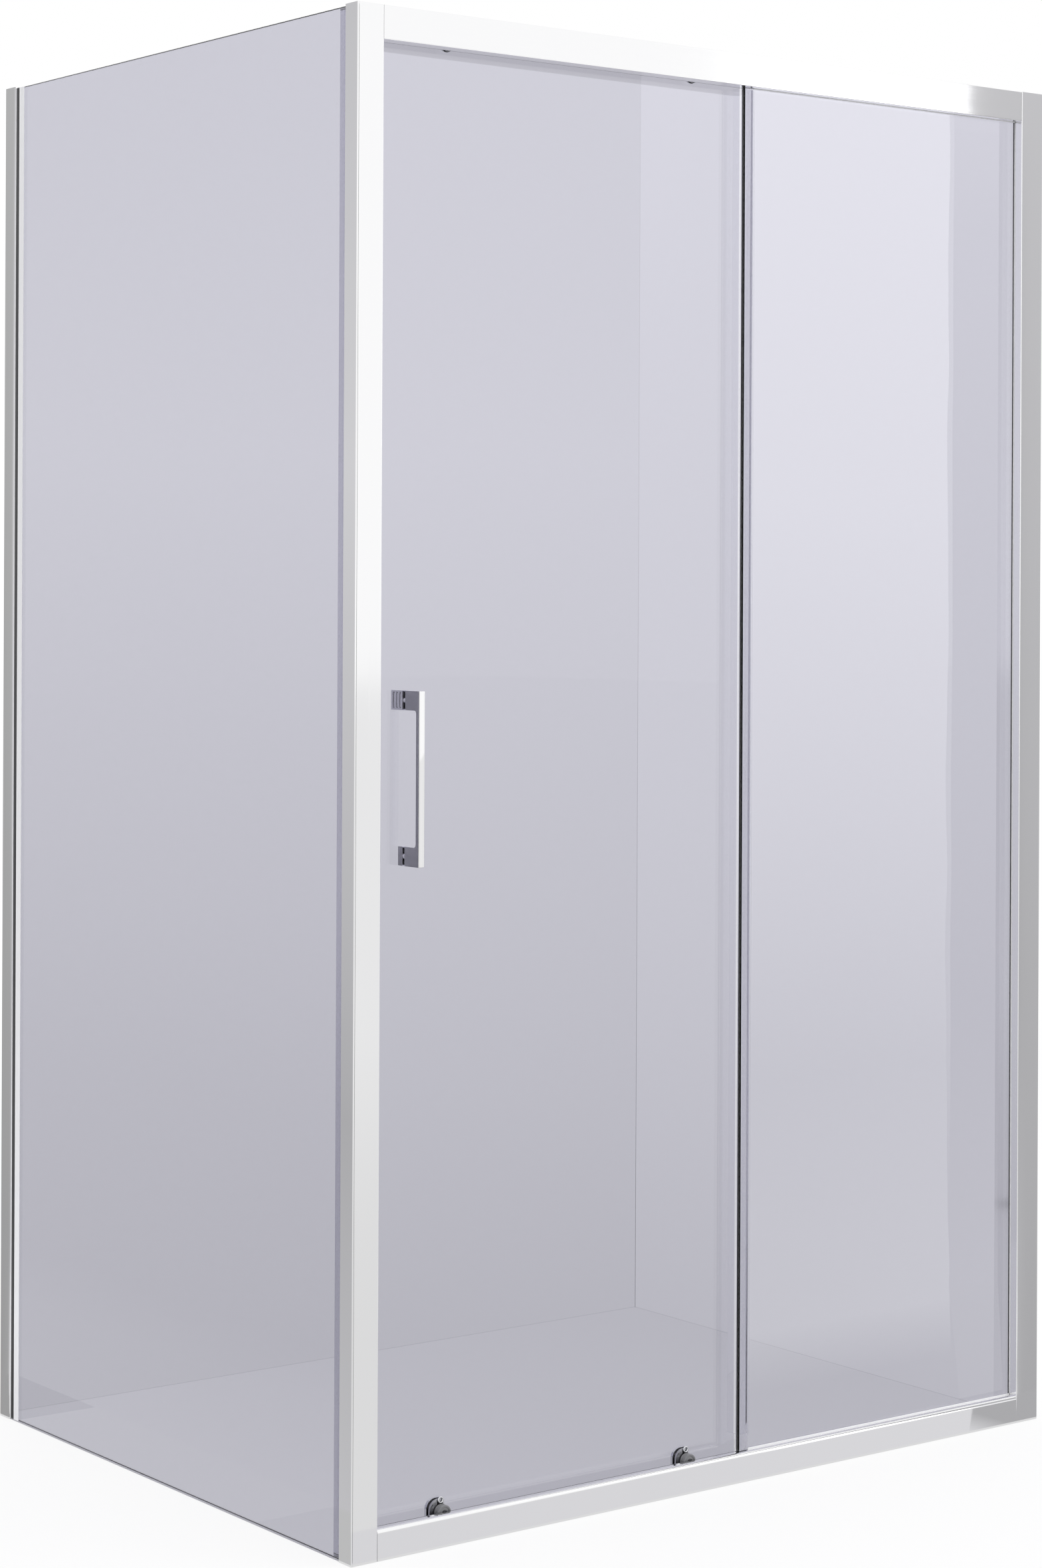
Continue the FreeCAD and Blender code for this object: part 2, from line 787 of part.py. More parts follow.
def make_return_panel():
    """The fixed side glass with its seals."""
    pocket_floor = front + d.corner_web + d.wall
    glass_start = pocket_floor + d.glass_edge_gap
    glass_end = left_post_front + d.glass_bite
    glass_top = top - d.return_top_gap
    glass_span = (return_face, return_back)
    keep(block("return_glass", glass_span, (glass_start, glass_end), (d.sill_seal, glass_top)))
    keep(block("return_sill_seal", glass_span, (front + d.corner_lip, left_post_front), (ZERO, d.sill_seal)))
    inner_span = (return_back, return_back + d.gasket)
    height_span = (d.sill_seal, glass_top)
    front_end = front + d.corner_lip + d.gasket_lip
    keep(block("return_front_gasket", inner_span, (glass_start, front_end), height_span))
    keep(block("return_inner_gasket", inner_span, (left_post_front - d.gasket_lip, glass_end), height_span))
    gasket_end = left_post_front - d.strip_line
    gasket_start = gasket_end - d.return_gasket_width
    outer_span = (return_face - d.strip_thickness, return_face)
    keep(block("return_wall_gasket", outer_span, (gasket_start, gasket_end), height_span))
    keep(group("return_wall_strip", [
        block("wall_strip_broad", outer_span, (gasket_start - d.strip_width, gasket_start), height_span),
        block("wall_strip_narrow", outer_span, (gasket_end, left_post_front), height_span),
    ]))


def make_fixed_panel():
    """The fixed front glass with its gaskets, setting blocks and edge seal."""
    glass_right = post_left + d.glass_bite
    glass_bottom = d.bottom_rail_height - d.glass_bite
    glass_top = rail_bottom + d.glass_bite
    keep(block("fixed_glass", (fixed_left, glass_right), (fixed_face, fixed_back), (glass_bottom, glass_top)))
    gasket_span = (fixed_face - d.gasket, fixed_face)
    seal_right = fixed_left + d.seal_face + d.seam
    top_edge = rail_bottom - d.gasket_lip
    bottom_edge = d.bottom_rail_height + d.gasket_lip
    keep(block("fixed_wall_gasket", (post_left - d.gasket_lip, glass_right), gasket_span,
               (bottom_edge, top_edge)))
    keep(block("fixed_top_gasket", (seal_right, post_left - d.seam), gasket_span, (top_edge, glass_top)))
    keep(block("fixed_bottom_gasket", (seal_right, post_left - d.seam), gasket_span,
               (glass_bottom, bottom_edge)))
    panel = glass_right - fixed_left
    blocks = []
    for number, share in enumerate(SETTING_BLOCK_SHARES):
        start = fixed_left + panel * share - d.setting_length / 2
        blocks.append(block(
            f"setting_block_{number}", (start, start + d.setting_length), (fixed_face, fixed_back),
            (glass_bottom - d.glass_edge_gap, glass_bottom)))
    keep(group("fixed_setting_blocks", blocks))
    leg = d.seal_leg
    inside = leg + d.glass
    deep = inside + leg
    clip = extrusion(
        "fixed_edge_clip", "z", (fixed_left - leg, fixed_face - leg, seal_bottom), seal_top - seal_bottom, [
            (ZERO, ZERO),
            (leg + d.seal_face, ZERO),
            (leg + d.seal_face, leg),
            (leg, leg),
            (leg, inside),
            (leg + d.seal_grip, inside),
            (leg + d.seal_grip, deep),
            (ZERO, deep),
        ])
    fin = block("fixed_edge_fin", (fixed_left - leg, fixed_left),
                (fixed_back + leg, door_face - d.running_gap), (d.fin_bottom, seal_top))
    keep(fused("fixed_edge_seal", clip, fin))


def make_door_seals():
    """The magnet strip on the jamb and the seals on the door's edges."""
    strip_start = door_face + d.glass / 2 - d.jamb_strip_depth / 2
    keep(block("jamb_magnet_strip", (jamb_inner, jamb_inner + d.jamb_strip_width),
               (strip_start, strip_start + d.jamb_strip_depth), (seal_bottom, seal_top)))
    leg = d.seal_leg
    inside = leg + d.glass
    deep = inside + leg
    magnet = d.magnet_width
    reach = magnet + d.seal_grip
    keep(extrusion(
        "leading_edge_seal", "z", (door_left - magnet, door_face - leg, d.door_bottom),
        seal_top - d.door_bottom, [
            (ZERO, ZERO),
            (reach, ZERO),
            (reach, leg),
            (magnet, leg),
            (magnet, inside),
            (reach, inside),
            (reach, deep),
            (ZERO, deep),
        ]))
    grip = d.seal_grip
    fin = d.trailing_fin
    keep(extrusion(
        "trailing_edge_seal", "z", (door_right - grip, door_face - leg - fin, d.trailing_bottom),
        seal_top - d.trailing_bottom, [
            (grip, ZERO),
            (grip + leg, ZERO),
            (grip + leg, fin + deep),
            (ZERO, fin + deep),
            (ZERO, fin + inside),
            (grip, fin + inside),
            (grip, fin + leg),
            (ZERO, fin + leg),
            (ZERO, fin),
            (grip, fin),
        ]))
    keep(block("door_drip_seal", (door_left + d.drip_inset, door_right - d.drip_inset),
               (door_face, door_back), (d.door_bottom - d.drip_height, d.door_bottom)))


def handle_levels():
    """The middle heights of the two standoffs, bottom first."""
    return (d.handle_bottom + d.standoff / 2, handle_top - d.standoff / 2)


def make_door_glass():
    """The sliding glass with the holes for its handle and rollers."""
    blank = block("door_glass_blank", (door_left, door_right), (door_face, door_back),
                  (d.door_bottom, door_top))
    start = door_face - d.overrun
    through = d.glass + d.overrun * 2
    holes = [rod(f"handle_hole_{number}", "y", (handle_centre, start, level), through, d.handle_bush)
             for number, level in enumerate(handle_levels())]
    for side, x in rollers.items():
        holes.append(rod(f"top_roller_hole_{side}", "y", (x, start, stud_level), through, d.top_hole))
        holes += plate_holes(f"bottom_roller_hole_{side}", x, start, through, d.plate_stud + d.running_gap)
    keep(drilled("door_glass", blank, holes))


def plate_holes(label, x, start, length, radius):
    """The pair of round bars or holes that hold a bottom roller's plates."""
    place = x - d.plate_stud_offset
    upper = d.plate_stud_level + d.plate_stud_spacing
    return [rod(f"{label}_{name}", "y", (place, start, level), length, radius)
            for name, level in (("low", d.plate_stud_level), ("high", upper))]


def make_handle():
    """The square pull outside, its ribbed block and cap inside, and what clamps them to the glass."""
    grip_front = door_face - d.handle_reach
    reach = d.handle_reach - d.pad
    bar = d.handle_bar
    upper = d.handle_length - d.standoff
    blank = extrusion("handle_grip_blank", "x", (handle_left, grip_front, d.handle_bottom), d.handle_width, [
        (ZERO, ZERO, d.handle_edge),
        (reach, ZERO),
        (reach, d.standoff),
        (bar, d.standoff, d.handle_corner),
        (bar, upper, d.handle_corner),
        (reach, upper),
        (reach, d.handle_length),
        (ZERO, d.handle_length, d.handle_edge),
    ])
    grip_back = door_face - d.pad
    inner_face = door_back + d.pad
    stud_hole = d.handle_stud + d.fit_gap
    low, high = handle_levels()
    grip_holes = [
        rod(f"grip_hole_{number}", "y", (handle_centre, grip_back - d.stud_in_grip - d.slide_gap, level),
            d.stud_in_grip + d.overrun, stud_hole)
        for number, level in enumerate((low, high))
    ]
    keep(drilled("handle_grip", blank, grip_holes))

    x_span = (handle_left, handle_left + d.handle_width)
    low_span = (d.handle_bottom, d.handle_bottom + d.standoff)
    high_span = (handle_top - d.standoff, handle_top)
    inner_block = block("inner_block_blank", x_span, (inner_face, inner_face + d.inner_block_depth),
                        high_span)
    cuts = [rod("inner_block_hole", "y", (handle_centre, inner_face - d.overrun, high),
                d.stud_in_block + d.slide_gap + d.overrun, stud_hole)]
    for number, share in enumerate(RIB_PLACE_SHARES):
        middle = inner_face + d.inner_block_depth * share
        y_span = (middle - d.rib_width / 2, middle + d.rib_width / 2)
        z_span = (high - d.rib_length / 2, high + d.rib_length / 2)
        left_span = (x_span[0] - d.overrun, x_span[0] + d.rib_depth)
        right_span = (x_span[1] - d.rib_depth, x_span[1] + d.overrun)
        cuts.append(block(f"left_groove_{number}", left_span, y_span, z_span))
        cuts.append(block(f"right_groove_{number}", right_span, y_span, z_span))
    keep(drilled("handle_inner_block", inner_block, cuts))
    inner_cap = block("inner_cap_blank", x_span, (inner_face, inner_face + d.inner_cap_depth), low_span)
    keep(drilled("handle_inner_cap", inner_cap, [
        rod("inner_cap_hole", "y", (handle_centre, inner_face - d.overrun, low),
            d.stud_in_cap + d.slide_gap + d.overrun, stud_hole)]))

    pads = []
    bushes = []
    pad_x_span = (x_span[0] + d.pad_inset, x_span[1] - d.pad_inset)
    for name, z_span, level in (("low", low_span, low), ("high", high_span, high)):
        pad_z_span = (z_span[0] + d.pad_inset, z_span[1] - d.pad_inset)
        for side, start in (("outer", grip_back), ("inner", door_back)):
            blank = block(f"handle_pad_{name}_{side}_blank", pad_x_span, (start, start + d.pad), pad_z_span)
            hole = rod(f"handle_pad_{name}_{side}_hole", "y", (handle_centre, start - d.overrun, level),
                       d.pad + d.overrun * 2, stud_hole)
            pads.append(drilled(f"handle_pad_{name}_{side}", blank, [hole]))
        bushes.append(make_bush(f"handle_bush_{name}", handle_centre, level, d.handle_stud, d.handle_bush))
    keep(group("handle_gaskets", pads))
    keep(group("handle_bushes", bushes))
    stud_start = grip_back - d.stud_in_grip
    keep(group("handle_studs", [
        rod("handle_stud_low", "y", (handle_centre, stud_start, low),
            inner_face + d.stud_in_cap - stud_start, d.handle_stud),
        rod("handle_stud_high", "y", (handle_centre, stud_start, high),
            inner_face + d.stud_in_block - stud_start, d.handle_stud),
    ]))


def make_bush(label, x, level, stud, hole):
    """A sleeve that fills the glass hole round a stud."""
    bore = stud + d.fit_gap
    rim = hole - d.fit_gap
    return turned(label, (x, door_face, level), [
        (bore, ZERO),
        (rim, ZERO),
        (rim, d.glass),
        (bore, d.glass),
    ])


def make_wheel(label, x, level, radius, wide, bore):
    """A grooved wheel on an axle along Y, centred on the track."""
    near = (wide - d.groove_width) / 2
    far = (wide + d.groove_width) / 2
    groove = radius - d.groove_depth
    return turned(label, (x, track_line - wide / 2, level), [
        (bore, ZERO),
        (radius, ZERO),
        (radius, near),
        (groove, near),
        (groove, far),
        (radius, far),
        (radius, wide),
        (bore, wide),
    ])


def make_axle(label, x, level):
    """A headed axle whose collar stands on the bracket."""
    wheel_start = track_line - d.wheel_width / 2
    head_end = d.axle_head
    start = wheel_start - d.slide_gap - head_end
    collar = d.axle_head + d.slide_gap * 2 + d.wheel_width
    seat = plate_front - start
    end = plate_back - start
    return turned(label, (x, start, level), [
        (ZERO, ZERO),
        (d.axle_collar, ZERO),
        (d.axle_collar, head_end),
        (d.axle_radius, head_end),
        (d.axle_radius, collar),
        (d.axle_collar, collar),
        (d.axle_collar, seat),
        (d.axle_radius, seat),
        (d.axle_radius, end),
        (ZERO, end),
    ])


def make_top_rollers():
    """Twin wheels above and below the top track, on brackets clamped to the glass."""
    axles = []
    bushes = []
    for side, x in rollers.items():
        half = d.bracket_width / 2
        blank = fused(
            f"top_bracket_{side}_blank",
            block(f"top_bracket_{side}_web", (x - half, x + half), (plate_front, plate_back),
                  (lower_axle, upper_axle)),
            rod(f"top_bracket_{side}_low_end", "y", (x, plate_front, lower_axle), d.plate_thickness, half),
            rod(f"top_bracket_{side}_high_end", "y", (x, plate_front, upper_axle), d.plate_thickness, half))
        start = plate_front - d.overrun
        through = d.plate_thickness + d.overrun * 2
        holes = [rod(f"top_bracket_{side}_stud_hole", "y", (x, start, stud_level), through,
                     d.top_stud + d.fit_gap)]
        for name, level in (("upper", upper_axle), ("lower", lower_axle)):
            holes.append(rod(f"top_bracket_{side}_{name}_hole", "y", (x, start, level), through,
                             d.axle_radius + d.fit_gap))
            axles.append(make_axle(f"{name}_axle_{side}", x, level))
            keep(make_wheel(f"{name}_wheel_{side}", x, level, d.wheel_radius, d.wheel_width,
                            d.axle_radius + d.fit_gap))
        keep(drilled(f"top_bracket_{side}", blank, holes))
        shank = door_back - plate_front
        end = shank + d.top_cap_depth
        keep(turned(f"top_roller_cap_{side}", (x, plate_front, stud_level), [
            (ZERO, ZERO),
            (d.top_stud, ZERO),
            (d.top_stud, shank),
            (d.top_cap_radius, shank),
            (d.top_cap_radius, end, d.top_cap_round),
            (ZERO, end),
        ]))
        bushes.append(make_bush(f"top_bush_{side}", x, stud_level, d.top_stud, d.top_hole))
        gasket_blank = block(f"top_gasket_{side}_blank", (x - half, x + half), (plate_back, door_face),
                             (lower_axle, upper_axle))
        hole = rod(f"top_gasket_{side}_hole", "y", (x, plate_back - d.overrun, stud_level),
                   d.pad + d.overrun * 2, d.top_stud + d.fit_gap)
        bushes.append(drilled(f"top_gasket_{side}", gasket_blank, [hole]))
    keep(group("top_roller_axles", axles))
    keep(group("top_roller_bushes", bushes))


def plate_outline():
    """The outline of a bottom roller's plates, as (z, x), with one broad shoulder."""
    tall = d.plate_top - d.plate_bottom
    return [
        (ZERO, ZERO),
        (tall, ZERO, d.plate_round),
        (tall, d.plate_width, d.plate_corner),
        (ZERO, d.plate_width),
    ]


def make_bottom_rollers():
    """Wheels on carriages that lift off the bottom track, in plates clamped to the glass."""
    gaskets = []
    for side, x in rollers.items():
        edge = x - d.plate_reach
        half = d.slot_width / 2
        blank = extrusion(f"bottom_plate_{side}_blank", "y", (edge, plate_front, d.plate_bottom),
                          d.plate_thickness, plate_outline())
        slot = block(f"bottom_plate_{side}_slot", (x - half, x + half),
                     (plate_front - d.overrun, plate_back + d.overrun), (d.slot_bottom, slot_top))
        holes = plate_holes(f"bottom_plate_{side}_hole", x, plate_front - d.overrun,
                            d.plate_thickness + d.overrun * 2, d.plate_stud + d.fit_gap)
        keep(drilled(f"bottom_plate_{side}", blank, [slot] + holes))
        inner_face = door_back + d.pad
        inner = extrusion(f"bottom_cap_{side}_plate", "y", (edge, inner_face, d.plate_bottom),
                          d.inner_plate_depth, plate_outline())
        studs = plate_holes(f"bottom_cap_{side}_stud", x, plate_front + d.slide_gap,
                            inner_face - plate_front + d.slide_gap, d.plate_stud)
        keep(fused(f"bottom_cap_{side}", inner, *studs))
        for name, start in (("outer", plate_back), ("inner", door_back)):
            label = f"bottom_gasket_{side}_{name}"
            sheet = extrusion(f"{label}_blank", "y", (edge, start, d.plate_bottom), d.pad, plate_outline())
            cuts = plate_holes(f"{label}_hole", x, start - d.overrun, d.pad + d.overrun * 2,
                               d.plate_stud + d.fit_gap)
            gaskets.append(drilled(label, sheet, cuts))
        keep(make_carriage(side, x))
        keep(make_wheel(f"bottom_wheel_{side}", x, d.bottom_axle, d.bottom_wheel_radius,
                        d.bottom_wheel_width, d.bottom_axle_radius + d.fit_gap))
        keep(make_spring(side, x))
    keep(group("bottom_roller_gaskets", gaskets))


def make_carriage(side, x):
    """The slider in the plate's slot, with the wheel's axle and the ring that lifts it."""
    label = f"release_carriage_{side}"
    half = d.slot_width / 2 - d.slide_gap
    slider = block(f"{label}_slider", (x - half, x + half), (plate_front, plate_back - d.slide_gap),
                   (d.slot_bottom, slider_top))
    wheel_front = track_line - d.bottom_wheel_width / 2
    wheel_back = track_line + d.bottom_wheel_width / 2
    head_start = wheel_front - d.slide_gap - d.axle_head
    axle = rod(f"{label}_axle", "y", (x, head_start, d.bottom_axle), plate_back - d.slide_gap - head_start,
               d.bottom_axle_radius)
    head = rod(f"{label}_head", "y", (x, head_start, d.bottom_axle), d.axle_head, d.bottom_collar)
    collar_start = wheel_back + d.slide_gap
    collar = rod(f"{label}_collar", "y", (x, collar_start, d.bottom_axle), plate_front - collar_start,
                 d.bottom_collar)
    neck_half = d.neck_width / 2
    neck_front = plate_front - d.neck_thickness
    neck_top = slider_top + d.neck_height
    neck = block(f"{label}_neck", (x - neck_half, x + neck_half), (neck_front, plate_front),
                 (slider_top - d.neck_width, neck_top))
    ring = doc.addObject("Part::Torus", f"{label}_ring")
    ring.setExpression("Radius1", d.ring_radius.formula)
    ring.setExpression("Radius2", d.ring_wire.formula)
    ring_line = neck_front + d.neck_thickness / 2 - d.ring_wire
    ring_level = neck_top + d.ring_radius - d.ring_wire / 2
    put(ring, "y", (x, ring_line, ring_level))
    return fused(label, slider, axle, head, collar, neck, ring)


def make_spring(side, x):
    """The small return spring above the slider, as a plain sleeve."""
    label = f"release_spring_{side}"
    middle = (plate_front + plate_back) / 2
    length = slot_top - slider_top
    coil = rod(f"{label}_coil", "z", (x, middle, slider_top), length, d.spring_radius)
    bore_start = (x, middle, slider_top - d.overrun)
    bore = rod(f"{label}_bore", "z", bore_start, length + d.overrun * 2, d.spring_bore)
    return drilled(label, coil, [bore])


def make_stops():
    """Blocks under the top rail's ceiling that stop the roller brackets at both ends."""
    ceiling = top - d.wall
    half = d.bracket_width / 2
    middle = (plate_front + plate_back) / 2
    y_span = (middle - d.stop_depth / 2, middle + d.stop_depth / 2)
    z_span = (ceiling - d.stop_height, ceiling)
    left_end = rollers["left"] - half - d.running_gap
    right_start = rollers["right"] + half + door_travel + d.running_gap
    keep(group("door_stops", [
        block("door_stop_left", (left_end - d.stop_length, left_end), y_span, z_span),
        block("door_stop_right", (right_start, right_start + d.stop_length), y_span, z_span),
    ]))


def check(item):
    """Stop if a piece failed to build."""
    bad = [word for word in item.State if word in ("Invalid", "Error")]
    if bad:
        raise RuntimeError(f"{item.Label} is {bad}")


make_corner()
make_rails()
make_right_wall()
make_left_wall()
make_wall_fixings()
make_return_panel()
make_fixed_panel()
make_door_seals()
make_door_glass()
make_handle()
make_top_rollers()
make_bottom_rollers()
make_stops()
doc.recompute()

for item in doc.Objects:
    check(item)
for piece in pieces:
    if piece.Shape.isNull() or not piece.Shape.isValid() or not piece.Shape.Solids:
        raise RuntimeError(f"{piece.Label} has no sound shape")

os.makedirs("parts", exist_ok=True)
for piece in pieces:
    piece.Shape.exportStep(f"parts/{piece.Label}.step")
print(f"{len(pieces)} pieces written")
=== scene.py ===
"""Corner shower enclosure: the finish of its pieces and the studio round it, in metres."""
import json
import math

import bpy
import numpy as np
from bpy.props import FloatProperty, FloatVectorProperty, IntProperty, PointerProperty
from bpy.types import Operator, Panel, PropertyGroup, Scene
from mathutils import Matrix, Vector


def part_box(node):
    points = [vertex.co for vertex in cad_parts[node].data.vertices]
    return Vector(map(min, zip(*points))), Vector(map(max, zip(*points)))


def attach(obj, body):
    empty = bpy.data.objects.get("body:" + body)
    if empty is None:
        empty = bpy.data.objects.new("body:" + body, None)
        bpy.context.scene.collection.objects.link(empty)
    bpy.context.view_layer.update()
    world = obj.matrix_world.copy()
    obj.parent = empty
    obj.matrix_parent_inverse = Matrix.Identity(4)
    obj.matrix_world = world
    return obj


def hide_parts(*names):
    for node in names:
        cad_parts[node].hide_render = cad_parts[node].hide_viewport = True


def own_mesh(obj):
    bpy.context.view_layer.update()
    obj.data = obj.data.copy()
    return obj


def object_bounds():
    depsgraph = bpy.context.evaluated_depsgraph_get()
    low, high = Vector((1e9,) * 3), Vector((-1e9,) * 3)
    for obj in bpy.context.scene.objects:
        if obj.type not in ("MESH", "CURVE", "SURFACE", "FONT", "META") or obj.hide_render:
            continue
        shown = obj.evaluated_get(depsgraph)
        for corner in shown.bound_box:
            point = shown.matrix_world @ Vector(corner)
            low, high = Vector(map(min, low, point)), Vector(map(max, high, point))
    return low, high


bl_info = {
    "name": "Shower enclosure",
    "version": (1, 0, 0),
    "blender": (4, 5, 0),
    "location": "View3D > Sidebar > Enclosure",
    "description": "Dresses a glass shower enclosure with a sliding door and sets it in a pale studio",
    "category": "Object",
}

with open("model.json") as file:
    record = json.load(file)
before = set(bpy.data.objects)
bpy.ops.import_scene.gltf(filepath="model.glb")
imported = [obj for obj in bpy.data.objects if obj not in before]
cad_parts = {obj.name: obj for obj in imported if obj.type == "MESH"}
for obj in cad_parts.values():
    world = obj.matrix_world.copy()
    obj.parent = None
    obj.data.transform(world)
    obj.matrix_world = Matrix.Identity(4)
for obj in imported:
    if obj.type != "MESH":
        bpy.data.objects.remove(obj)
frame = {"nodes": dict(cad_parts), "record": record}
cad_low, cad_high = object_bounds()
SLOT_OF_NODE = {part["node"]: part["material_slot"] for part in frame["record"]["subparts"]}
BODY_OF_NODE = {
    node: body for body, nodes in frame["record"]["behaviour"]["bodies"].items() for node in nodes
}
SIDES = ("left", "right")
AXES = "xyz"
PHOTO_WIDTH = 1568
PHOTO_HEIGHT = 2360
SMOOTH_ANGLE = math.radians(32)
WHITE = (1.0, 1.0, 1.0)
COOL = (0.98, 0.975, 1.0)

# Places and sizes as shares of what carries them
GROOVE_PLACE_SHARES = (0.2, 0.48, 0.76)
GROOVE_BELL_SHARE = 0.36
GROOVE_WALL_SHARE = 0.12
GROOVE_BED_SHARE = 0.8
HUB_SHARE = 0.22
WEB_SHARE = 0.68
DISH_ROUND_SHARE = 1 / 2.2
CHANNEL_SCREW_SHARES = (0.16, 0.5, 0.84)
RECESS_SOFT_SHARE = 0.3
FACING_LEAST_SHARE = 0.3

# Grains to the metre along X, Y and Z
UPRIGHT_GRAIN = (700.0, 700.0, 1.5)
RAIL_GRAIN = (1.5, 700.0, 700.0)
EVEN_GRAIN = (900.0, 900.0, 900.0)
POLISH_GRAIN = (60.0, 60.0, 60.0)
SEAL_GRAIN = (900.0, 900.0, 4.0)
PANE_GRAIN = (1.2, 1.2, 5.0)
FLOOR_GRAIN = (2.0, 2.0, 2.0)
BROAD_GRAIN_SHARE = 1 / 12
NOISE_MIDDLE = (0.3, 0.7)

# Depth in metres of what the light picks out on a surface
POLISH_DEPTH = 0.0000005
SEAL_LINE_DEPTH = 0.000004
PANE_WAVE_DEPTH = 0.0006

GLASS_IOR = 1.6
GLASS_FOOT = 0.2
SEAL_IOR = 1.12
SEAL_ROUGHNESS = 0.03
SEAL_SHADE_SHARE = 0.97
PULL_ROUGHNESS = (0.03, 0.06)
INSIDE_ROUGHNESS = 0.4
PLATED_ROUGHNESS = 0.05

# Material, colour, grain, least and greatest roughness, depth of the lines, share of the colour in them
DRAWN_METALS = {
    "upright": ("polished_upright", "profile", UPRIGHT_GRAIN, (0.06, 0.08), 0.0000001, 0.99),
    "rail": ("polished_rail", "profile", RAIL_GRAIN, (0.06, 0.08), 0.0000001, 0.99),
    "satin": ("satin_plate", "satin", EVEN_GRAIN, (0.26, 0.38), 0.000003, 0.94),
    "release": ("release_metal", "release", EVEN_GRAIN, (0.26, 0.38), 0.000003, 0.9),
    "chrome": ("bright_chrome", "chrome", POLISH_GRAIN, (0.03, 0.07), 0.000001, 0.97),
    "steel": ("stainless_steel", "steel", EVEN_GRAIN, (0.22, 0.36), 0.000004, 0.9),
}
# The same for plastic and rubber, which have one grain for all axes
MOULDINGS = {
    "milky": ("milky_strip", "milky", 600.0, (0.18, 0.26), 0.000002, 0.97),
    "sill": ("sill_seal", "sill", 600.0, (0.3, 0.4), 0.000002, 0.97),
    "grey_rubber": ("grey_rubber", "grey_rubber", 1800.0, (0.26, 0.4), 0.000006, 0.8),
    "rubber": ("black_rubber", "rubber", 1800.0, (0.26, 0.4), 0.000006, 0.6),
    "nylon": ("white_nylon", "nylon", 1500.0, (0.4, 0.55), 0.000008, 0.94),
    "grey_plastic": ("grey_plastic", "grey_plastic", 1500.0, (0.38, 0.5), 0.000008, 0.9),
    "wheel": ("wheel_plastic", "wheel", 1500.0, (0.28, 0.42), 0.000008, 0.8),
}


def size(name, description, default):
    """A length in metres that a user may change."""
    return FloatProperty(name=name, description=description, default=default, unit="LENGTH", precision=5)


def degrees(name, description, default):
    """An angle, given in degrees, that a user may change."""
    return FloatProperty(name=name, description=description, default=math.radians(default), subtype="ANGLE")


def number(name, description, default):
    """A plain number that a user may change."""
    return FloatProperty(name=name, description=description, default=default, precision=4)


def colour(name, description, default):
    """A linear colour that a user may change."""
    return FloatVectorProperty(name=name, description=description, default=default, subtype="COLOR", size=3)


class EnclosureSizes(PropertyGroup):
    """Small sizes of the finished surfaces. The main sizes come from the frame."""

    return_arris: size("Return arris", "Width of the ground arris of the return pane", 0.0008)
    fixed_arris: size("Fixed arris", "Width of the ground arris of the fixed pane", 0.0022)
    glass_corner: size("Glass corner", "Radius of a pane's corners", 0.0015)
    lip_round: size("Lip round", "Radius along the edges of a gasket", 0.0003)
    fit: size("Fit", "Gap between clear pieces that lie face to face", 0.00004)
    rail_box: size("Rail box", "Depth of the polished front of the rails", 0.013)
    seal_leg: size("Seal leg", "Thickness of a clear seal's legs", 0.0008)
    seal_grip: size("Seal grip", "How far a seal's short leg reaches over the glass", 0.008)
    fin_bottom: size("Fin bottom", "Level where the fin of the fixed panel's seal starts", 0.060)
    # Painted shade: a dark line in the fixed panel's clear seal, standing for the dark look of the pane's
    # edge.
    shade_line_inset: size("Line inset", "How far the dark line starts from the seal's edge", 0.0003)
    line_width: size("Line width", "Width of the dark line in the fixed panel's seal", 0.0017)
    # Painted shade: a darker strip of the door's glass below the top rail, standing for the rail's shaded
    # inside as the glass reflects it.
    top_strip: size("Top strip", "Height of the greyer strip of the door below the top rail", 0.0085)
    # Painted light: past this place the door's glass is clearer, so that where it lies behind the fixed pane
    # the two panes look no darker than one.
    painted_clear_inset: size("Clear inset", "How far past the fixed pane's edge the door is clearer", 0.0145)
    seal_round: size("Seal round", "Radius along the edges of a clear seal", 0.00028)
    handle_bar: size("Handle bar", "Thickness of the handle's upright bar", 0.007)
    standoff: size("Standoff", "Height of the handle's two feet", 0.0245)
    handle_corner: size("Handle corner", "Radius inside the handle's bends", 0.004)
    handle_edge: size("Handle edge", "Rounding along the handle's edges", 0.0008)
    handle_tip: size("Handle tip", "Radius of the handle's outer bends", 0.0012)
    groove_depth: size("Groove depth", "Depth of the finger grooves in the inner block", 0.0009)
    groove_width: size("Groove width", "Width of a finger groove", 0.0036)
    groove_length: size("Groove length", "Length of a finger groove", 0.0185)
    wheel_bore: size("Wheel bore", "Radius of a top wheel's bore", 0.00205)
    bottom_bore: size("Bottom bore", "Radius of a bottom wheel's bore", 0.00255)
    track_groove: size("Track groove", "Depth of the groove that runs on the track", 0.0009)
    track_groove_width: size("Track groove width", "Width of that groove", 0.003)
    wheel_dish: size("Wheel dish", "Depth of the dished web in a wheel's face", 0.0006)
    wheel_round: size("Wheel round", "Radius along a wheel's edges", 0.0004)
    neck_level: size("Neck level", "Height above which a roller's release is plated", 0.045)
    spring_wire: size("Spring wire", "Radius of the release spring's wire", 0.00018)
    screw_head: size("Screw head", "Radius of a pan-head screw", 0.0034)
    screw_rise: size("Screw rise", "Height of a pan head", 0.0016)
    recess_depth: size("Recess depth", "Depth of the cross recess", 0.0009)
    recess_width: size("Recess width", "Half width of the cross recess", 0.00045)
    recess_length: size("Recess length", "Half length of the cross recess", 0.0021)
    spring_turns: IntProperty(name="Spring turns", description="Turns of a release spring", default=11)


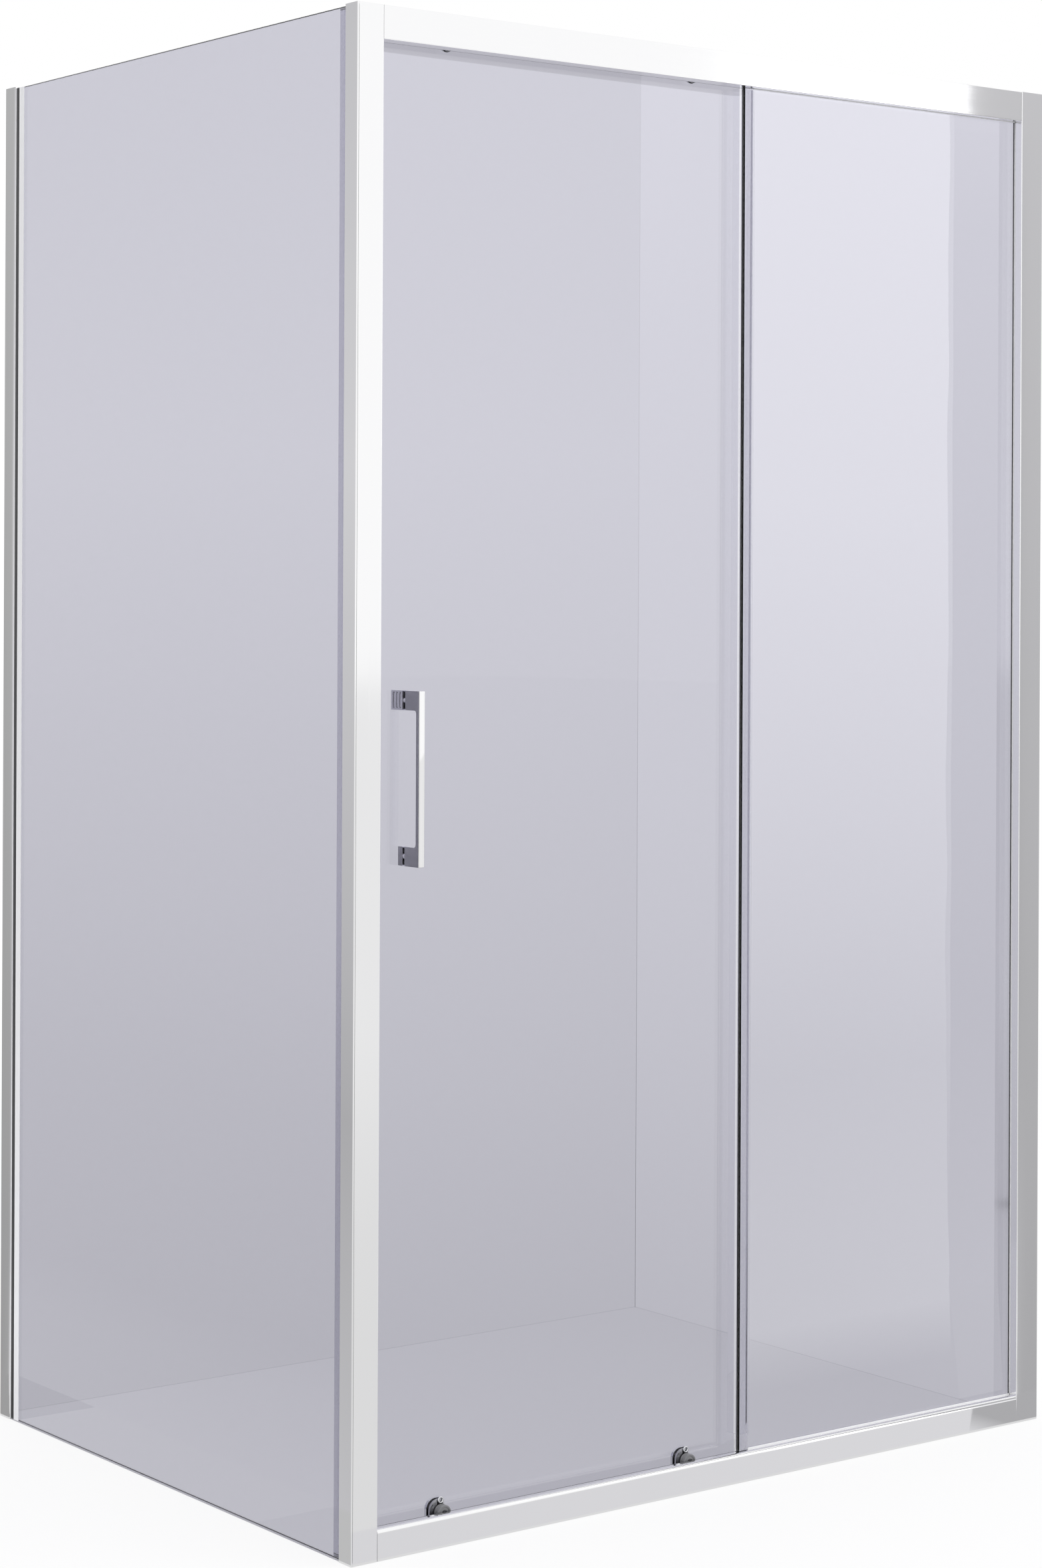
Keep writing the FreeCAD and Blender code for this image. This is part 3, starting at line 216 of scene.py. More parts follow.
class EnclosureColours(PropertyGroup):
    """Colours of the finishes, as linear values."""

    profile: colour("Profile", "Polished anodised aluminium", (0.955, 0.955, 0.962))
    # Painted shade: dark metal inside the rails, standing for the shade in their hollows.
    rail_inside_shade: colour("Mill finish", "Unpolished metal inside the rails", (0.28, 0.28, 0.30))
    glass: colour("Glass", "Light through the face of a pane", (0.61, 0.605, 0.68))
    # The edge colours are painted light: painted shade on the return pane's edges, a painted highlight on the
    # edges of the fixed pane and the door.
    glass_edge_shade: colour("Glass edge", "Light through the ground edge of a pane", (0.16, 0.17, 0.20))
    # Painted shade in the strip along the door's top.
    door_top_shade: colour("Glass top", "Light through the strip along the door's top", (0.49, 0.485, 0.545))
    fixed_edge: colour("Fixed edge", "Light through the other panes' edges", (0.85, 0.86, 0.90))
    # Painted shade in the fixed panel's clear seal.
    seal_shade_line: colour("Seal line", "Dark line in the fixed panel's seal", (0.11, 0.115, 0.14))
    rubber: colour("Rubber", "Black gasket", (0.036, 0.036, 0.04))
    grey_rubber: colour("Grey rubber", "Gasket beside the right wall post", (0.80, 0.80, 0.82))
    seal: colour("Seal", "Clear soft seal", (0.985, 0.985, 0.995))
    milky: colour("Wall strip", "Milky strip beside the wall post", (0.93, 0.93, 0.95))
    sill: colour("Sill seal", "Grey seal under the return panel", (0.47, 0.465, 0.51))
    chrome: colour("Chrome", "Bright plated metal", (0.74, 0.75, 0.77))
    # Painted light on the handle's plate: a painted highlight on the faces towards the front, and painted
    # shade on the sides that face along X, of the pull and of the inner block.
    pull_highlight: colour("Pull front", "Bright plate on the handle's front", (0.97, 0.97, 0.975))
    pull_side_shade: colour("Pull side", "Plate on the handle's sides", (0.42, 0.42, 0.43))
    block_side_shade: colour("Block side", "Plate on the inner block's sides", (0.78, 0.78, 0.79))
    # Painted shade down the walls of the inner block's grooves.
    groove_shade: colour("Groove line", "Edge of the inner block's grooves", (0.22, 0.22, 0.23))
    release: colour("Release", "Dark metal of a roller's release", (0.10, 0.10, 0.105))
    satin: colour("Satin", "Satin plates of the rollers", (0.52, 0.52, 0.55))
    steel: colour("Steel", "Stainless screws, studs and springs", (0.60, 0.61, 0.63))
    nylon: colour("Nylon", "White bushes, keys and blocks", (0.80, 0.80, 0.78))
    grey_plastic: colour("Grey plastic", "Caps and stops", (0.36, 0.37, 0.39))
    wheel: colour("Wheel", "Grey moulded wheels", (0.24, 0.24, 0.25))
    floor: colour("Floor", "Pale studio floor", (0.80, 0.80, 0.815))


class EnclosureStage(PropertyGroup):
    """Where the camera stands and how bright the studio is."""

    eye: FloatVectorProperty(
        name="Eye", description="Camera place", default=(-2.8003, -3.686, 1.190), subtype="TRANSLATION",
        size=3)
    heading: degrees("Heading", "Turn of the view from straight ahead", -37.2)
    roll: degrees("Roll", "Tilt of the camera about its own view", 0.256)
    focal_pixels: number("Focal length", "Focal length in pixels of the photograph", 4858.0)
    horizon_pixel: number("Horizon", "Height of the horizon in the photograph, in pixels from its top", 883.5)
    room_light: number("Room light", "Strength of the world on matt surfaces", 1.05)
    top_power: number("Top lamp", "Power of the soft lamp overhead, in watts", 70.0)
    key_power: number("Key lamp", "Power of the soft lamp in front, in watts", 30.0)


def rounded_outline(corners, radii, steps):
    """Closed outline in which every corner is an arc.

    At a corner P the outline turns by an angle T. The arc of radius r starts r*tan(T/2) before P, its
    centre is r to the side, and its points are the first spoke turned by equal parts of T.
    """
    arriving = corners - np.roll(corners, 1, 0)
    arriving /= np.linalg.norm(arriving, axis=1, keepdims=True)
    leaving = np.roll(arriving, -1, 0)
    cross = arriving[:, 0] * leaving[:, 1] - arriving[:, 1] * leaving[:, 0]
    turn = np.arctan2(cross, (arriving * leaving).sum(1))
    start = corners - arriving * (radii * np.tan(np.abs(turn) / 2))[:, None]
    inward = np.stack([-arriving[:, 1], arriving[:, 0]], 1) * np.sign(turn)[:, None]
    centre = start + inward * radii[:, None]
    spoke = start - centre
    angle = turn[:, None] * np.linspace(0, 1, steps + 1)
    x = centre[:, :1] + spoke[:, :1] * np.cos(angle) - spoke[:, 1:] * np.sin(angle)
    y = centre[:, 1:] + spoke[:, :1] * np.sin(angle) + spoke[:, 1:] * np.cos(angle)
    return np.stack([x, y], -1).reshape(-1, 2)


def counter_clockwise(corners, radii):
    """The same outline in the order that has its inside on the left."""
    following = np.roll(corners, -1, 0)
    area = (corners[:, 0] * following[:, 1] - corners[:, 1] * following[:, 0]).sum()
    return (corners, radii) if area > 0 else (corners[::-1], radii[::-1])


def inset_outline(corners, radii, amount, steps):
    """Outline moved inwards by an amount.

    A corner moves by amount*(a + b)/(1 + a.b), where a and b are the inward normals of its two sides. The
    radius shrinks at an outer corner and grows at an inner one.
    """
    along = corners - np.roll(corners, 1, 0)
    along /= np.linalg.norm(along, axis=1, keepdims=True)
    first = np.stack([-along[:, 1], along[:, 0]], 1)
    second = np.roll(first, -1, 0)
    shift = (first + second) / (1 + (first * second).sum(1, keepdims=True))
    outer = np.sign(first[:, 0] * second[:, 1] - first[:, 1] * second[:, 0])
    return rounded_outline(corners + shift * amount, radii - outer * amount, steps)


def placed(outlines, levels, axes):
    """Points of outlines that lie in the plane of the first two axes, at levels along the third."""
    rings = np.empty(outlines.shape[:2] + (3,))
    first, second, along = (AXES.index(axis) for axis in axes)
    rings[..., first] = outlines[..., 0]
    rings[..., second] = outlines[..., 1]
    rings[..., along] = np.asarray(levels)[:, None]
    return rings


def skin(rings, loop=False):
    """Vertices and faces of a closed surface through rings[i, j].

    Each face joins points j and j + 1 of rings i and i + 1. The rings close on themselves, and so does the
    row of rings where it is a loop; otherwise its two ends get one flat face each. The faces are turned
    round if the volume, a sixth of the sum of p.(q x r) over triangles, comes out negative.
    """
    rows, columns = rings.shape[:2]
    index = np.arange(rows * columns).reshape(rows, columns)
    here = index if loop else index[:-1]
    there = np.roll(index, -1, 0) if loop else index[1:]
    quads = np.stack([here, np.roll(here, -1, 1), np.roll(there, -1, 1), there], -1).reshape(-1, 4)
    points = rings.reshape(-1, 3)
    centred = points - points.mean(0)
    triangles = np.concatenate([quads[:, [0, 1, 2]], quads[:, [0, 2, 3]]])
    ends = [] if loop else [index[0, ::-1], index[-1]]
    for end in ends:
        hub = np.full(columns - 2, end[0])
        triangles = np.concatenate([triangles, np.stack([hub, end[1:-1], end[2:]], -1)])
    p, q, r = (centred[triangles[:, k]] for k in range(3))
    faces = quads.tolist() + [end.tolist() for end in ends]
    if (p * np.cross(q, r)).sum() < 0:
        faces = [face[::-1] for face in faces]
    return points, faces


def rounded_bar(corners, radii, edge, low, high, axes, corner_steps=4, edge_steps=3):
    """An outline carried from low to high, with its two end edges rounded.

    Along the quarter turn a of an edge the outline is inset by edge*(1 - sin a) at edge*(1 - cos a) from
    the end.
    """
    corners, radii = counter_clockwise(np.asarray(corners, float), np.asarray(radii, float))
    quarter = np.linspace(0, math.pi / 2, edge_steps + 1)
    insets = edge * (1 - np.sin(quarter))
    depths = edge * (1 - np.cos(quarter))
    levels = np.concatenate([low + depths, (high - depths)[::-1]])
    insets = np.concatenate([insets, insets[::-1]])
    outlines = np.stack([inset_outline(corners, radii, inset, corner_steps) for inset in insets])
    return skin(placed(outlines, levels, axes))


def rectangle(low, high):
    """Corners of a rectangle from two opposite ones."""
    return [(low[0], low[1]), (high[0], low[1]), (high[0], high[1]), (low[0], high[1])]


def rounded_block(low, high, along, radius, edge, corner_steps=4, edge_steps=3):
    """A box whose long edges have a radius and whose ends are rounded by edge."""
    flat = [axis for axis in AXES if axis != along]
    across = [AXES.index(axis) for axis in flat]
    way = AXES.index(along)
    corners = rectangle([low[k] for k in across], [high[k] for k in across])
    return rounded_bar(
        corners, np.full(len(corners), radius), edge, low[way], high[way], flat + [along],
        corner_steps, edge_steps)


def turned(outline, centre, steps):
    """A closed outline of (radius, y) carried round an axis along Y: x = r cos a, z = r sin a."""
    angle = np.linspace(0, 2 * math.pi, steps, endpoint=False)[:, None]
    radius, along = outline[:, 0], outline[:, 1]
    rings = np.stack([
        centre[0] + radius * np.cos(angle),
        np.broadcast_to(along, (steps, len(along))),
        centre[2] + radius * np.sin(angle),
    ], -1)
    return skin(rings, loop=True)


def piece(name, surfaces, node):
    """One object made of closed surfaces. It rides on its node's body, has its finish and stands for it."""
    vertices = []
    faces = []
    for points, polygons in surfaces:
        start = len(vertices)
        vertices.extend(points.tolist())
        faces.extend([start + corner for corner in polygon] for polygon in polygons)
    mesh = bpy.data.meshes.new(name)
    mesh.from_pydata(vertices, [], faces)
    if mesh.validate():
        raise RuntimeError(f"{name} had faces that Blender had to mend")
    mesh.shade_smooth()
    mesh.set_sharp_from_angle(angle=SMOOTH_ANGLE)
    mesh.materials.append(finish_of(node))
    made = bpy.data.objects.new(name, mesh)
    bpy.context.scene.collection.objects.link(made)
    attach(made, BODY_OF_NODE[node])
    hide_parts(node)
    return made


def add_node(tree, kind, settings=None, **values):
    """A node whose settings and inputs are given by name. An input is a value or another node's output."""
    node = tree.nodes.new(kind)
    for name, value in (settings or {}).items():
        setattr(node, name, value)
    for name, value in values.items():
        feed(tree, node.inputs[name.replace("_", " ")], value)
    return node


def feed(tree, socket, value):
    """Give an input a value, or link it to another node's output."""
    if isinstance(value, bpy.types.NodeSocket):
        tree.links.new(value, socket)
    else:
        socket.default_value = value


def start_material(name, **constants):
    """An empty material with a Principled shader whose plain numbers are set on its own sockets."""
    material = bpy.data.materials.new(name)
    material.use_nodes = True
    tree = material.node_tree
    tree.nodes.clear()
    shader = add_node(tree, "ShaderNodeBsdfPrincipled", **constants)
    output = add_node(tree, "ShaderNodeOutputMaterial", Surface=shader.outputs[0])
    return material, tree, shader, output


def noise(tree, stretch, detail=3.0):
    """Noise on the object's own coordinates, with a count of grains to the metre along each axis."""
    place = add_node(tree, "ShaderNodeTexCoord").outputs["Object"]
    mapping = add_node(tree, "ShaderNodeMapping", Vector=place, Scale=stretch)
    texture = add_node(tree, "ShaderNodeTexNoise", Vector=mapping.outputs[0], Scale=1.0, Detail=detail)
    return texture.outputs["Fac"]


def spread(tree, value, low, high):
    """The middle of a noise stretched to run from low to high."""
    return ramp(tree, value, NOISE_MIDDLE, (low, high))


def ramp(tree, value, places, results, settings=None):
    """A number that runs between two results while a value runs between two places."""
    return add_node(
        tree, "ShaderNodeMapRange", settings, Value=value, From_Min=places[0], From_Max=places[1],
        To_Min=results[0], To_Max=results[1]).outputs[0]


def tint(tree, value, first, second):
    """A colour between two, by a value from 0 to 1. The node's sockets 6 and 7 are the colours."""
    mix = add_node(tree, "ShaderNodeMix", {"data_type": "RGBA"}, Factor=value)
    feed(tree, mix.inputs[6], first)
    feed(tree, mix.inputs[7], second)
    return mix.outputs[2]


def blend(tree, value, first, second):
    """A number between two, by a value from 0 to 1. The node's sockets 2 and 3 are the numbers."""
    mix = add_node(tree, "ShaderNodeMix", {"data_type": "FLOAT"}, Factor=value)
    feed(tree, mix.inputs[2], first)
    feed(tree, mix.inputs[3], second)
    return mix.outputs[0]


def combined(tree, operation, first, second):
    """The result of a sum, product or comparison of two numbers."""
    math_node = add_node(tree, "ShaderNodeMath", {"operation": operation})
    feed(tree, math_node.inputs[0], first)
    feed(tree, math_node.inputs[1], second)
    return math_node.outputs[0]


def opaque(rgb, share=1.0):
    """A colour with full alpha, made darker by a share."""
    return [channel * share for channel in rgb] + [1.0]


def bumped(tree, shader, height, depth):
    """Bump of a depth in metres from a height of 0 to 1."""
    bump = add_node(tree, "ShaderNodeBump", Height=height, Distance=depth, Strength=1.0)
    tree.links.new(bump.outputs[0], shader.inputs["Normal"])


def drawn_metal(name, rgb, grain, roughnesses, depth, shade_share, inside=None):
    """Metal with fine lines along its length: they vary the roughness, the colour and the surface.

    Inside is an axis, the place along it past which the finish changes, and the colour and roughness there.
    """
    material, tree, shader, output = start_material(name, Metallic=1.0)
    lines = noise(tree, grain)
    roughness = spread(tree, lines, *roughnesses)
    shade = tint(tree, lines, opaque(rgb, shade_share), opaque(rgb))
    if inside:
        axis, start, inside_rgb, inside_roughness = inside
        mask = past(tree, axis, start)
        roughness = blend(tree, mask, roughness, inside_roughness)
        shade = tint(tree, mask, shade, opaque(inside_rgb))
    feed(tree, shader.inputs["Roughness"], roughness)
    feed(tree, shader.inputs["Base Color"], shade)
    bumped(tree, shader, lines, depth)
    return material


def place_along(tree, axis):
    """The object's own coordinate along an axis."""
    place = add_node(tree, "ShaderNodeTexCoord").outputs["Object"]
    return add_node(tree, "ShaderNodeSeparateXYZ", Vector=place).outputs[AXES.index(axis)]


def past(tree, axis, start):
    """1 past a place along an axis, 0 before it."""
    return combined(tree, "GREATER_THAN", place_along(tree, axis), start)


def facing_share(tree, axis):
    """How far a surface faces along an axis, from 0 to 1."""
    normal = add_node(tree, "ShaderNodeNewGeometry").outputs["Normal"]
    parts = add_node(tree, "ShaderNodeSeparateXYZ", Vector=normal)
    return combined(tree, "ABSOLUTE", parts.outputs[AXES.index(axis)], 0.0)


def pull_chrome(name, highlight_rgb, side_shade_rgb):
    """Bright plate with a painted highlight on its front and painted shade on its sides, which face along X.
    """
    material, tree, shader, output = start_material(name, Metallic=1.0)
    polish = noise(tree, POLISH_GRAIN)
    feed(tree, shader.inputs["Roughness"], spread(tree, polish, *PULL_ROUGHNESS))
    shade = tint(tree, facing_share(tree, "x"), opaque(highlight_rgb), opaque(side_shade_rgb))
    feed(tree, shader.inputs["Base Color"], shade)
    bumped(tree, shader, polish, POLISH_DEPTH)
    return material, tree, shader, shade


def grooved_chrome(name, colours, box, depth):
    """Bright plate with painted shade on its sides, and grooves in both sides: painted shade down their
    walls, a painted highlight on their floors.

    A point's depth is its distance along X from the nearer side of the block.
    """
    material, tree, shader, shade = pull_chrome(name, colours.pull_highlight, colours.block_side_shade)
    low, high = box
    middle = (low[0] + high[0]) / 2
    half = (high[0] - low[0]) / 2
    apart = combined(tree, "ABSOLUTE", combined(tree, "SUBTRACT", place_along(tree, "x"), middle), 0.0)
    sunk = combined(tree, "SUBTRACT", half, apart)
    # Painted shade on the grooves' walls and a painted highlight on their floors, on the block's sides alone.
    wall = combined(tree, "GREATER_THAN", sunk, depth * GROOVE_WALL_SHARE)
    bed = combined(tree, "GREATER_THAN", sunk, depth * GROOVE_BED_SHARE)
    lines = tint(tree, bed, opaque(colours.groove_shade), opaque(colours.pull_highlight))
    side = combined(tree, "GREATER_THAN", facing_share(tree, "x"), FACING_LEAST_SHARE)
    feed(tree, shader.inputs["Base Color"], tint(tree, combined(tree, "MULTIPLY", wall, side), shade, lines))
    return material


def moulded(name, rgb, grain, roughnesses, depth, shade_share):
    """Plastic or rubber with a fine moulded grain and a little variation in colour."""
    material, tree, shader, output = start_material(name)
    broad_grain = grain * BROAD_GRAIN_SHARE
    fine = noise(tree, (grain, grain, grain))
    broad = noise(tree, (broad_grain, broad_grain, broad_grain), detail=2.0)
    feed(tree, shader.inputs["Roughness"], spread(tree, fine, *roughnesses))
    feed(tree, shader.inputs["Base Color"], tint(tree, broad, opaque(rgb, shade_share), opaque(rgb)))
    bumped(tree, shader, fine, depth)
    return material


def lets_lamps_through(tree, shader, output, rgb):
    """Mix a see-through shader in for shadow rays, so that lamps shine through."""
    path = add_node(tree, "ShaderNodeLightPath")
    clear = add_node(tree, "ShaderNodeBsdfTransparent", Color=opaque(rgb))
    mix = add_node(tree, "ShaderNodeMixShader", Fac=path.outputs["Is Shadow Ray"])
    tree.links.new(shader.outputs[0], mix.inputs[1])
    tree.links.new(clear.outputs[0], mix.inputs[2])
    tree.links.new(mix.outputs[0], output.inputs["Surface"])


def glass(name, face_rgb, painted_edge_rgb, facing, strips=()):
    """Toughened glass. Its ground edges, which don't face along the given axis, take an edge colour above the
    foot: painted shade where it is darker than the face, a painted highlight where it is lighter.

    A slow wave across the pane, as rollers leave it, bends its reflections a little. A strip is an
    axis, the place along it past which the pane takes a colour of painted light or shade, and that colour.
    """
    material, tree, shader, output = start_material(
        name, Transmission_Weight=1.0, IOR=GLASS_IOR, Roughness=0.0)
    face = combined(tree, "GREATER_THAN", facing_share(tree, facing), FACING_LEAST_SHARE)
    foot = combined(tree, "LESS_THAN", place_along(tree, "z"), GLASS_FOOT)
    face = combined(tree, "MAXIMUM", face, foot)
    shade = tint(tree, face, opaque(painted_edge_rgb), opaque(face_rgb))
    for axis, start, strip_rgb in strips:
        shade = tint(tree, past(tree, axis, start), shade, opaque(strip_rgb))
    feed(tree, shader.inputs["Base Color"], shade)
    bumped(tree, shader, noise(tree, PANE_GRAIN, detail=1.0), PANE_WAVE_DEPTH)
    lets_lamps_through(tree, shader, output, face_rgb)
    return material


def soft_seal(name, rgb, line=None):
    """Clear soft plastic with faint drawing lines.

    A line is a stripe of painted shade: where it starts and ends along X, where it ends along Y, and its
    colour.
    """
    material, tree, shader, output = start_material(
        name, Transmission_Weight=1.0, IOR=SEAL_IOR, Roughness=SEAL_ROUGHNESS)
    lines = noise(tree, SEAL_GRAIN)
    shade = tint(tree, lines, opaque(rgb, SEAL_SHADE_SHARE), opaque(rgb))
    if line:
        start, end, depth, line_rgb = line
        before = combined(tree, "LESS_THAN", place_along(tree, "x"), end)
        front = combined(tree, "LESS_THAN", place_along(tree, "y"), depth)
        mask = combined(tree, "MULTIPLY", past(tree, "x", start), combined(tree, "MULTIPLY", before, front))
        shade = tint(tree, mask, shade, opaque(line_rgb))
    feed(tree, shader.inputs["Base Color"], shade)
    bumped(tree, shader, lines, SEAL_LINE_DEPTH)
    lets_lamps_through(tree, shader, output, rgb)
    return material


def make_finishes(colours, sizes):
    """Every material by its name. The rails take painted shade inside, and a roller's release has another
    finish past its neck.
    """
    changes = {
        # Past the polished front, the rails take painted shade inside.
        "rail": ("y", cad_low[1] + sizes.rail_box - sizes.fit, colours.rail_inside_shade, INSIDE_ROUGHNESS),
        "release": ("z", sizes.neck_level, colours.chrome, PLATED_ROUGHNESS),
    }
    pane_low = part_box("fixed_glass")[0]
    strips = (
        # Painted shade in a strip below the top rail.
        ("z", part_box("top_rail")[0][2] - sizes.top_strip, colours.door_top_shade),
        # Painted light past the fixed pane's edge, where the door shows through it.
        ("x", pane_low[0] + sizes.painted_clear_inset, colours.seal),
    )
    line_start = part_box("fixed_edge_seal")[0][0] + sizes.shade_line_inset
    line = (line_start, line_start + sizes.line_width, pane_low[1] + sizes.fit, colours.seal_shade_line)
    made = {
        "pull": pull_chrome("pull_chrome", colours.pull_highlight, colours.pull_side_shade)[0],
        "grooved": grooved_chrome(
            "grooved_chrome", colours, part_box("handle_inner_block"), sizes.groove_depth),
        "front_glass": glass("front_glass", colours.glass, colours.fixed_edge, "y"),
        "door_glass": glass("door_glass", colours.glass, colours.fixed_edge, "y", strips),
        "side_glass": glass("side_glass", colours.glass, colours.glass_edge_shade, "x"),
        "clear_seal": soft_seal("clear_seal", colours.seal),
        "lined_seal": soft_seal("lined_seal", colours.seal, line),
    }
    for finish, (name, hue, *values) in DRAWN_METALS.items():
        made[finish] = drawn_metal(name, getattr(colours, hue), *values, changes.get(finish))
    for finish, (name, hue, *values) in MOULDINGS.items():
        made[finish] = moulded(name, getattr(colours, hue), *values)
    return made


FINISH_OF_SLOT = {
    "polished_profile": "upright",
    "clear_glass": "front_glass",
    "black_rubber": "rubber",
    "clear_seal": "clear_seal",
    "chrome": "chrome",
    "steel": "steel",
    "white_nylon": "nylon",
    "grey_plastic": "grey_plastic",
    "wheel_plastic": "wheel",
}
FINISH_OF_NODE = {
    "top_rail": "rail",
    "bottom_rail": "rail",
    "return_glass": "side_glass",
    "door_glass": "door_glass",
    "fixed_edge_seal": "lined_seal",
    "return_wall_strip": "milky",
    "return_sill_seal": "sill",
    "fixed_wall_gasket": "grey_rubber",
    "fixed_top_gasket": "milky",
    "fixed_bottom_gasket": "milky",
    "handle_grip": "pull",
    "handle_inner_block": "grooved",
    "handle_inner_cap": "pull",
    "release_carriage_left": "release",
    "release_carriage_right": "release",
    "bottom_plate_left": "satin",
    "bottom_plate_right": "satin",
}
finishes = {}


def finish_of(node):
    """The material that a node's slot asks for, or the one that the node has of its own."""
    return finishes[FINISH_OF_NODE.get(node, FINISH_OF_SLOT[SLOT_OF_NODE[node]])]


class ENCLOSURE_OT_finishes(Operator):
    """Make the finishes and give them to the pieces that the frame already has"""

    bl_idname = "enclosure.finishes"
    bl_label = "Finishes"

    def execute(self, context):
        finishes.update(make_finishes(context.scene.enclosure_colours, context.scene.enclosure_sizes))
        for node, item in frame["nodes"].items():
            material = finish_of(node)
            if not item.material_slots:
                item.data.materials.append(material)
            for slot in item.material_slots:
                slot.material = material
        return {"FINISHED"}


class ENCLOSURE_OT_panes(Operator):
    """Make the two fixed panes with ground edges"""

    bl_idname = "enclosure.panes"
    bl_label = "Fixed panes"

    def execute(self, context):
        sizes = context.scene.enclosure_sizes
        for node, thin, arris in (
                ("return_glass", "x", sizes.return_arris), ("fixed_glass", "y", sizes.fixed_arris)):
            low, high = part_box(node)
            surface = rounded_block(low, high, thin, sizes.glass_corner + arris, arris, edge_steps=1)
            piece(f"{node}_pane", [surface], node)
        return {"FINISHED"}


class ENCLOSURE_OT_gaskets(Operator):
    """Make the rubber gaskets with rounded lips"""

    bl_idname = "enclosure.gaskets"
    bl_label = "Gaskets"

    def execute(self, context):
        sizes = context.scene.enclosure_sizes
        runs = {
            "return_front_gasket": "z", "return_inner_gasket": "z", "return_wall_gasket": "z",
            "fixed_wall_gasket": "z", "fixed_top_gasket": "x", "fixed_bottom_gasket": "x",
        }
        for node, along in runs.items():
            low, high = (np.array(point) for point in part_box(node))
            if SLOT_OF_NODE[node] == "clear_seal":
                low += sizes.fit
                high -= sizes.fit
            surface = rounded_block(low, high, along, sizes.lip_round, sizes.lip_round / 2)
            piece(f"{node}_strip", [surface], node)
        return {"FINISHED"}


def clear_of(node, gap):
    """A node's box made larger by a gap on every side."""
    low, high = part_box(node)
    return np.array(low) - gap, np.array(high) + gap


def seal_sections(sizes):
    """Outlines of the drawn seals in X and Y, each with the heights it runs between.

    They come from the boxes of the seals and of the glass they clip to. The fin of the fixed panel's seal
    starts above the door's rollers, which pass below it.
    """
    leg = sizes.seal_leg
    low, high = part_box("fixed_edge_seal")
    pane_low, pane_high = clear_of("fixed_glass", sizes.fit)
    back = pane_high[1] + leg
    clip = [
        (low[0], low[1]), (high[0], low[1]), (high[0], pane_low[1]), (pane_low[0], pane_low[1]),
        (pane_low[0], pane_high[1]), (pane_low[0] + sizes.seal_grip, pane_high[1]),
        (pane_low[0] + sizes.seal_grip, back),
    ]
    fin = [(low[0] + leg, back), (low[0] + leg, high[1]), (low[0], high[1])]
    yield "fixed_edge_seal", [
        (clip + [(low[0], back)], low[2], sizes.fin_bottom - sizes.fit),
        (clip + fin, sizes.fin_bottom, high[2]),
    ]
    low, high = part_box("leading_edge_seal")
    door_low, door_high = clear_of("door_glass", sizes.fit)
    yield "leading_edge_seal", [([
        (low[0], low[1]), (high[0], low[1]), (high[0], door_low[1]), (door_low[0], door_low[1]),
        (door_low[0], door_high[1]), (high[0], door_high[1]), (high[0], high[1]), (low[0], high[1]),
    ], low[2], high[2])]
    low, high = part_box("trailing_edge_seal")
    yield "trailing_edge_seal", [([
        (door_high[0], low[1]), (high[0], low[1]), (high[0], high[1]), (low[0], high[1]),
        (low[0], door_high[1]), (door_high[0], door_high[1]), (door_high[0], door_low[1]),
        (low[0], door_low[1]), (low[0], door_low[1] - leg), (door_high[0], door_low[1] - leg),
    ], low[2], high[2])]


class ENCLOSURE_OT_seals(Operator):
    """Make the clear seals as drawn sections with soft edges"""

    bl_idname = "enclosure.seals"
    bl_label = "Clear seals"

    def execute(self, context):
        sizes = context.scene.enclosure_sizes
        edge = sizes.seal_round / 2
        for node, sections in seal_sections(sizes):
            surfaces = []
            for corners, bottom, top in sections:
                radii = np.full(len(corners), sizes.seal_round)
                surfaces.append(rounded_bar(
                    corners, radii, edge, bottom, top, AXES, corner_steps=3, edge_steps=2))
            piece(f"{node}_section", surfaces, node)
        for node, along in (
                ("jamb_magnet_strip", "z"), ("return_sill_seal", "y"), ("door_drip_seal", "x")):
            low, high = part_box(node)
            surface = rounded_block(low, high, along, sizes.seal_round, edge)
            piece(f"{node}_section", [surface], node)
        self.make_wall_strip(sizes, edge)
        return {"FINISHED"}

    def make_wall_strip(self, sizes, edge):
        """The milky strip on both sides of the return panel's wall gasket."""
        node = "return_wall_strip"
        low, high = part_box(node)
        gasket_low, gasket_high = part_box("return_wall_gasket")
        near_glass = high[0] - sizes.fit
        surfaces = []
        for start, end in ((low[1], gasket_low[1] - sizes.fit), (gasket_high[1] + sizes.fit, high[1])):
            surfaces.append(rounded_block(
                (low[0], start, low[2]), (near_glass, end, high[2]), "z", sizes.seal_round, edge))
        piece(f"{node}_section", surfaces, node)


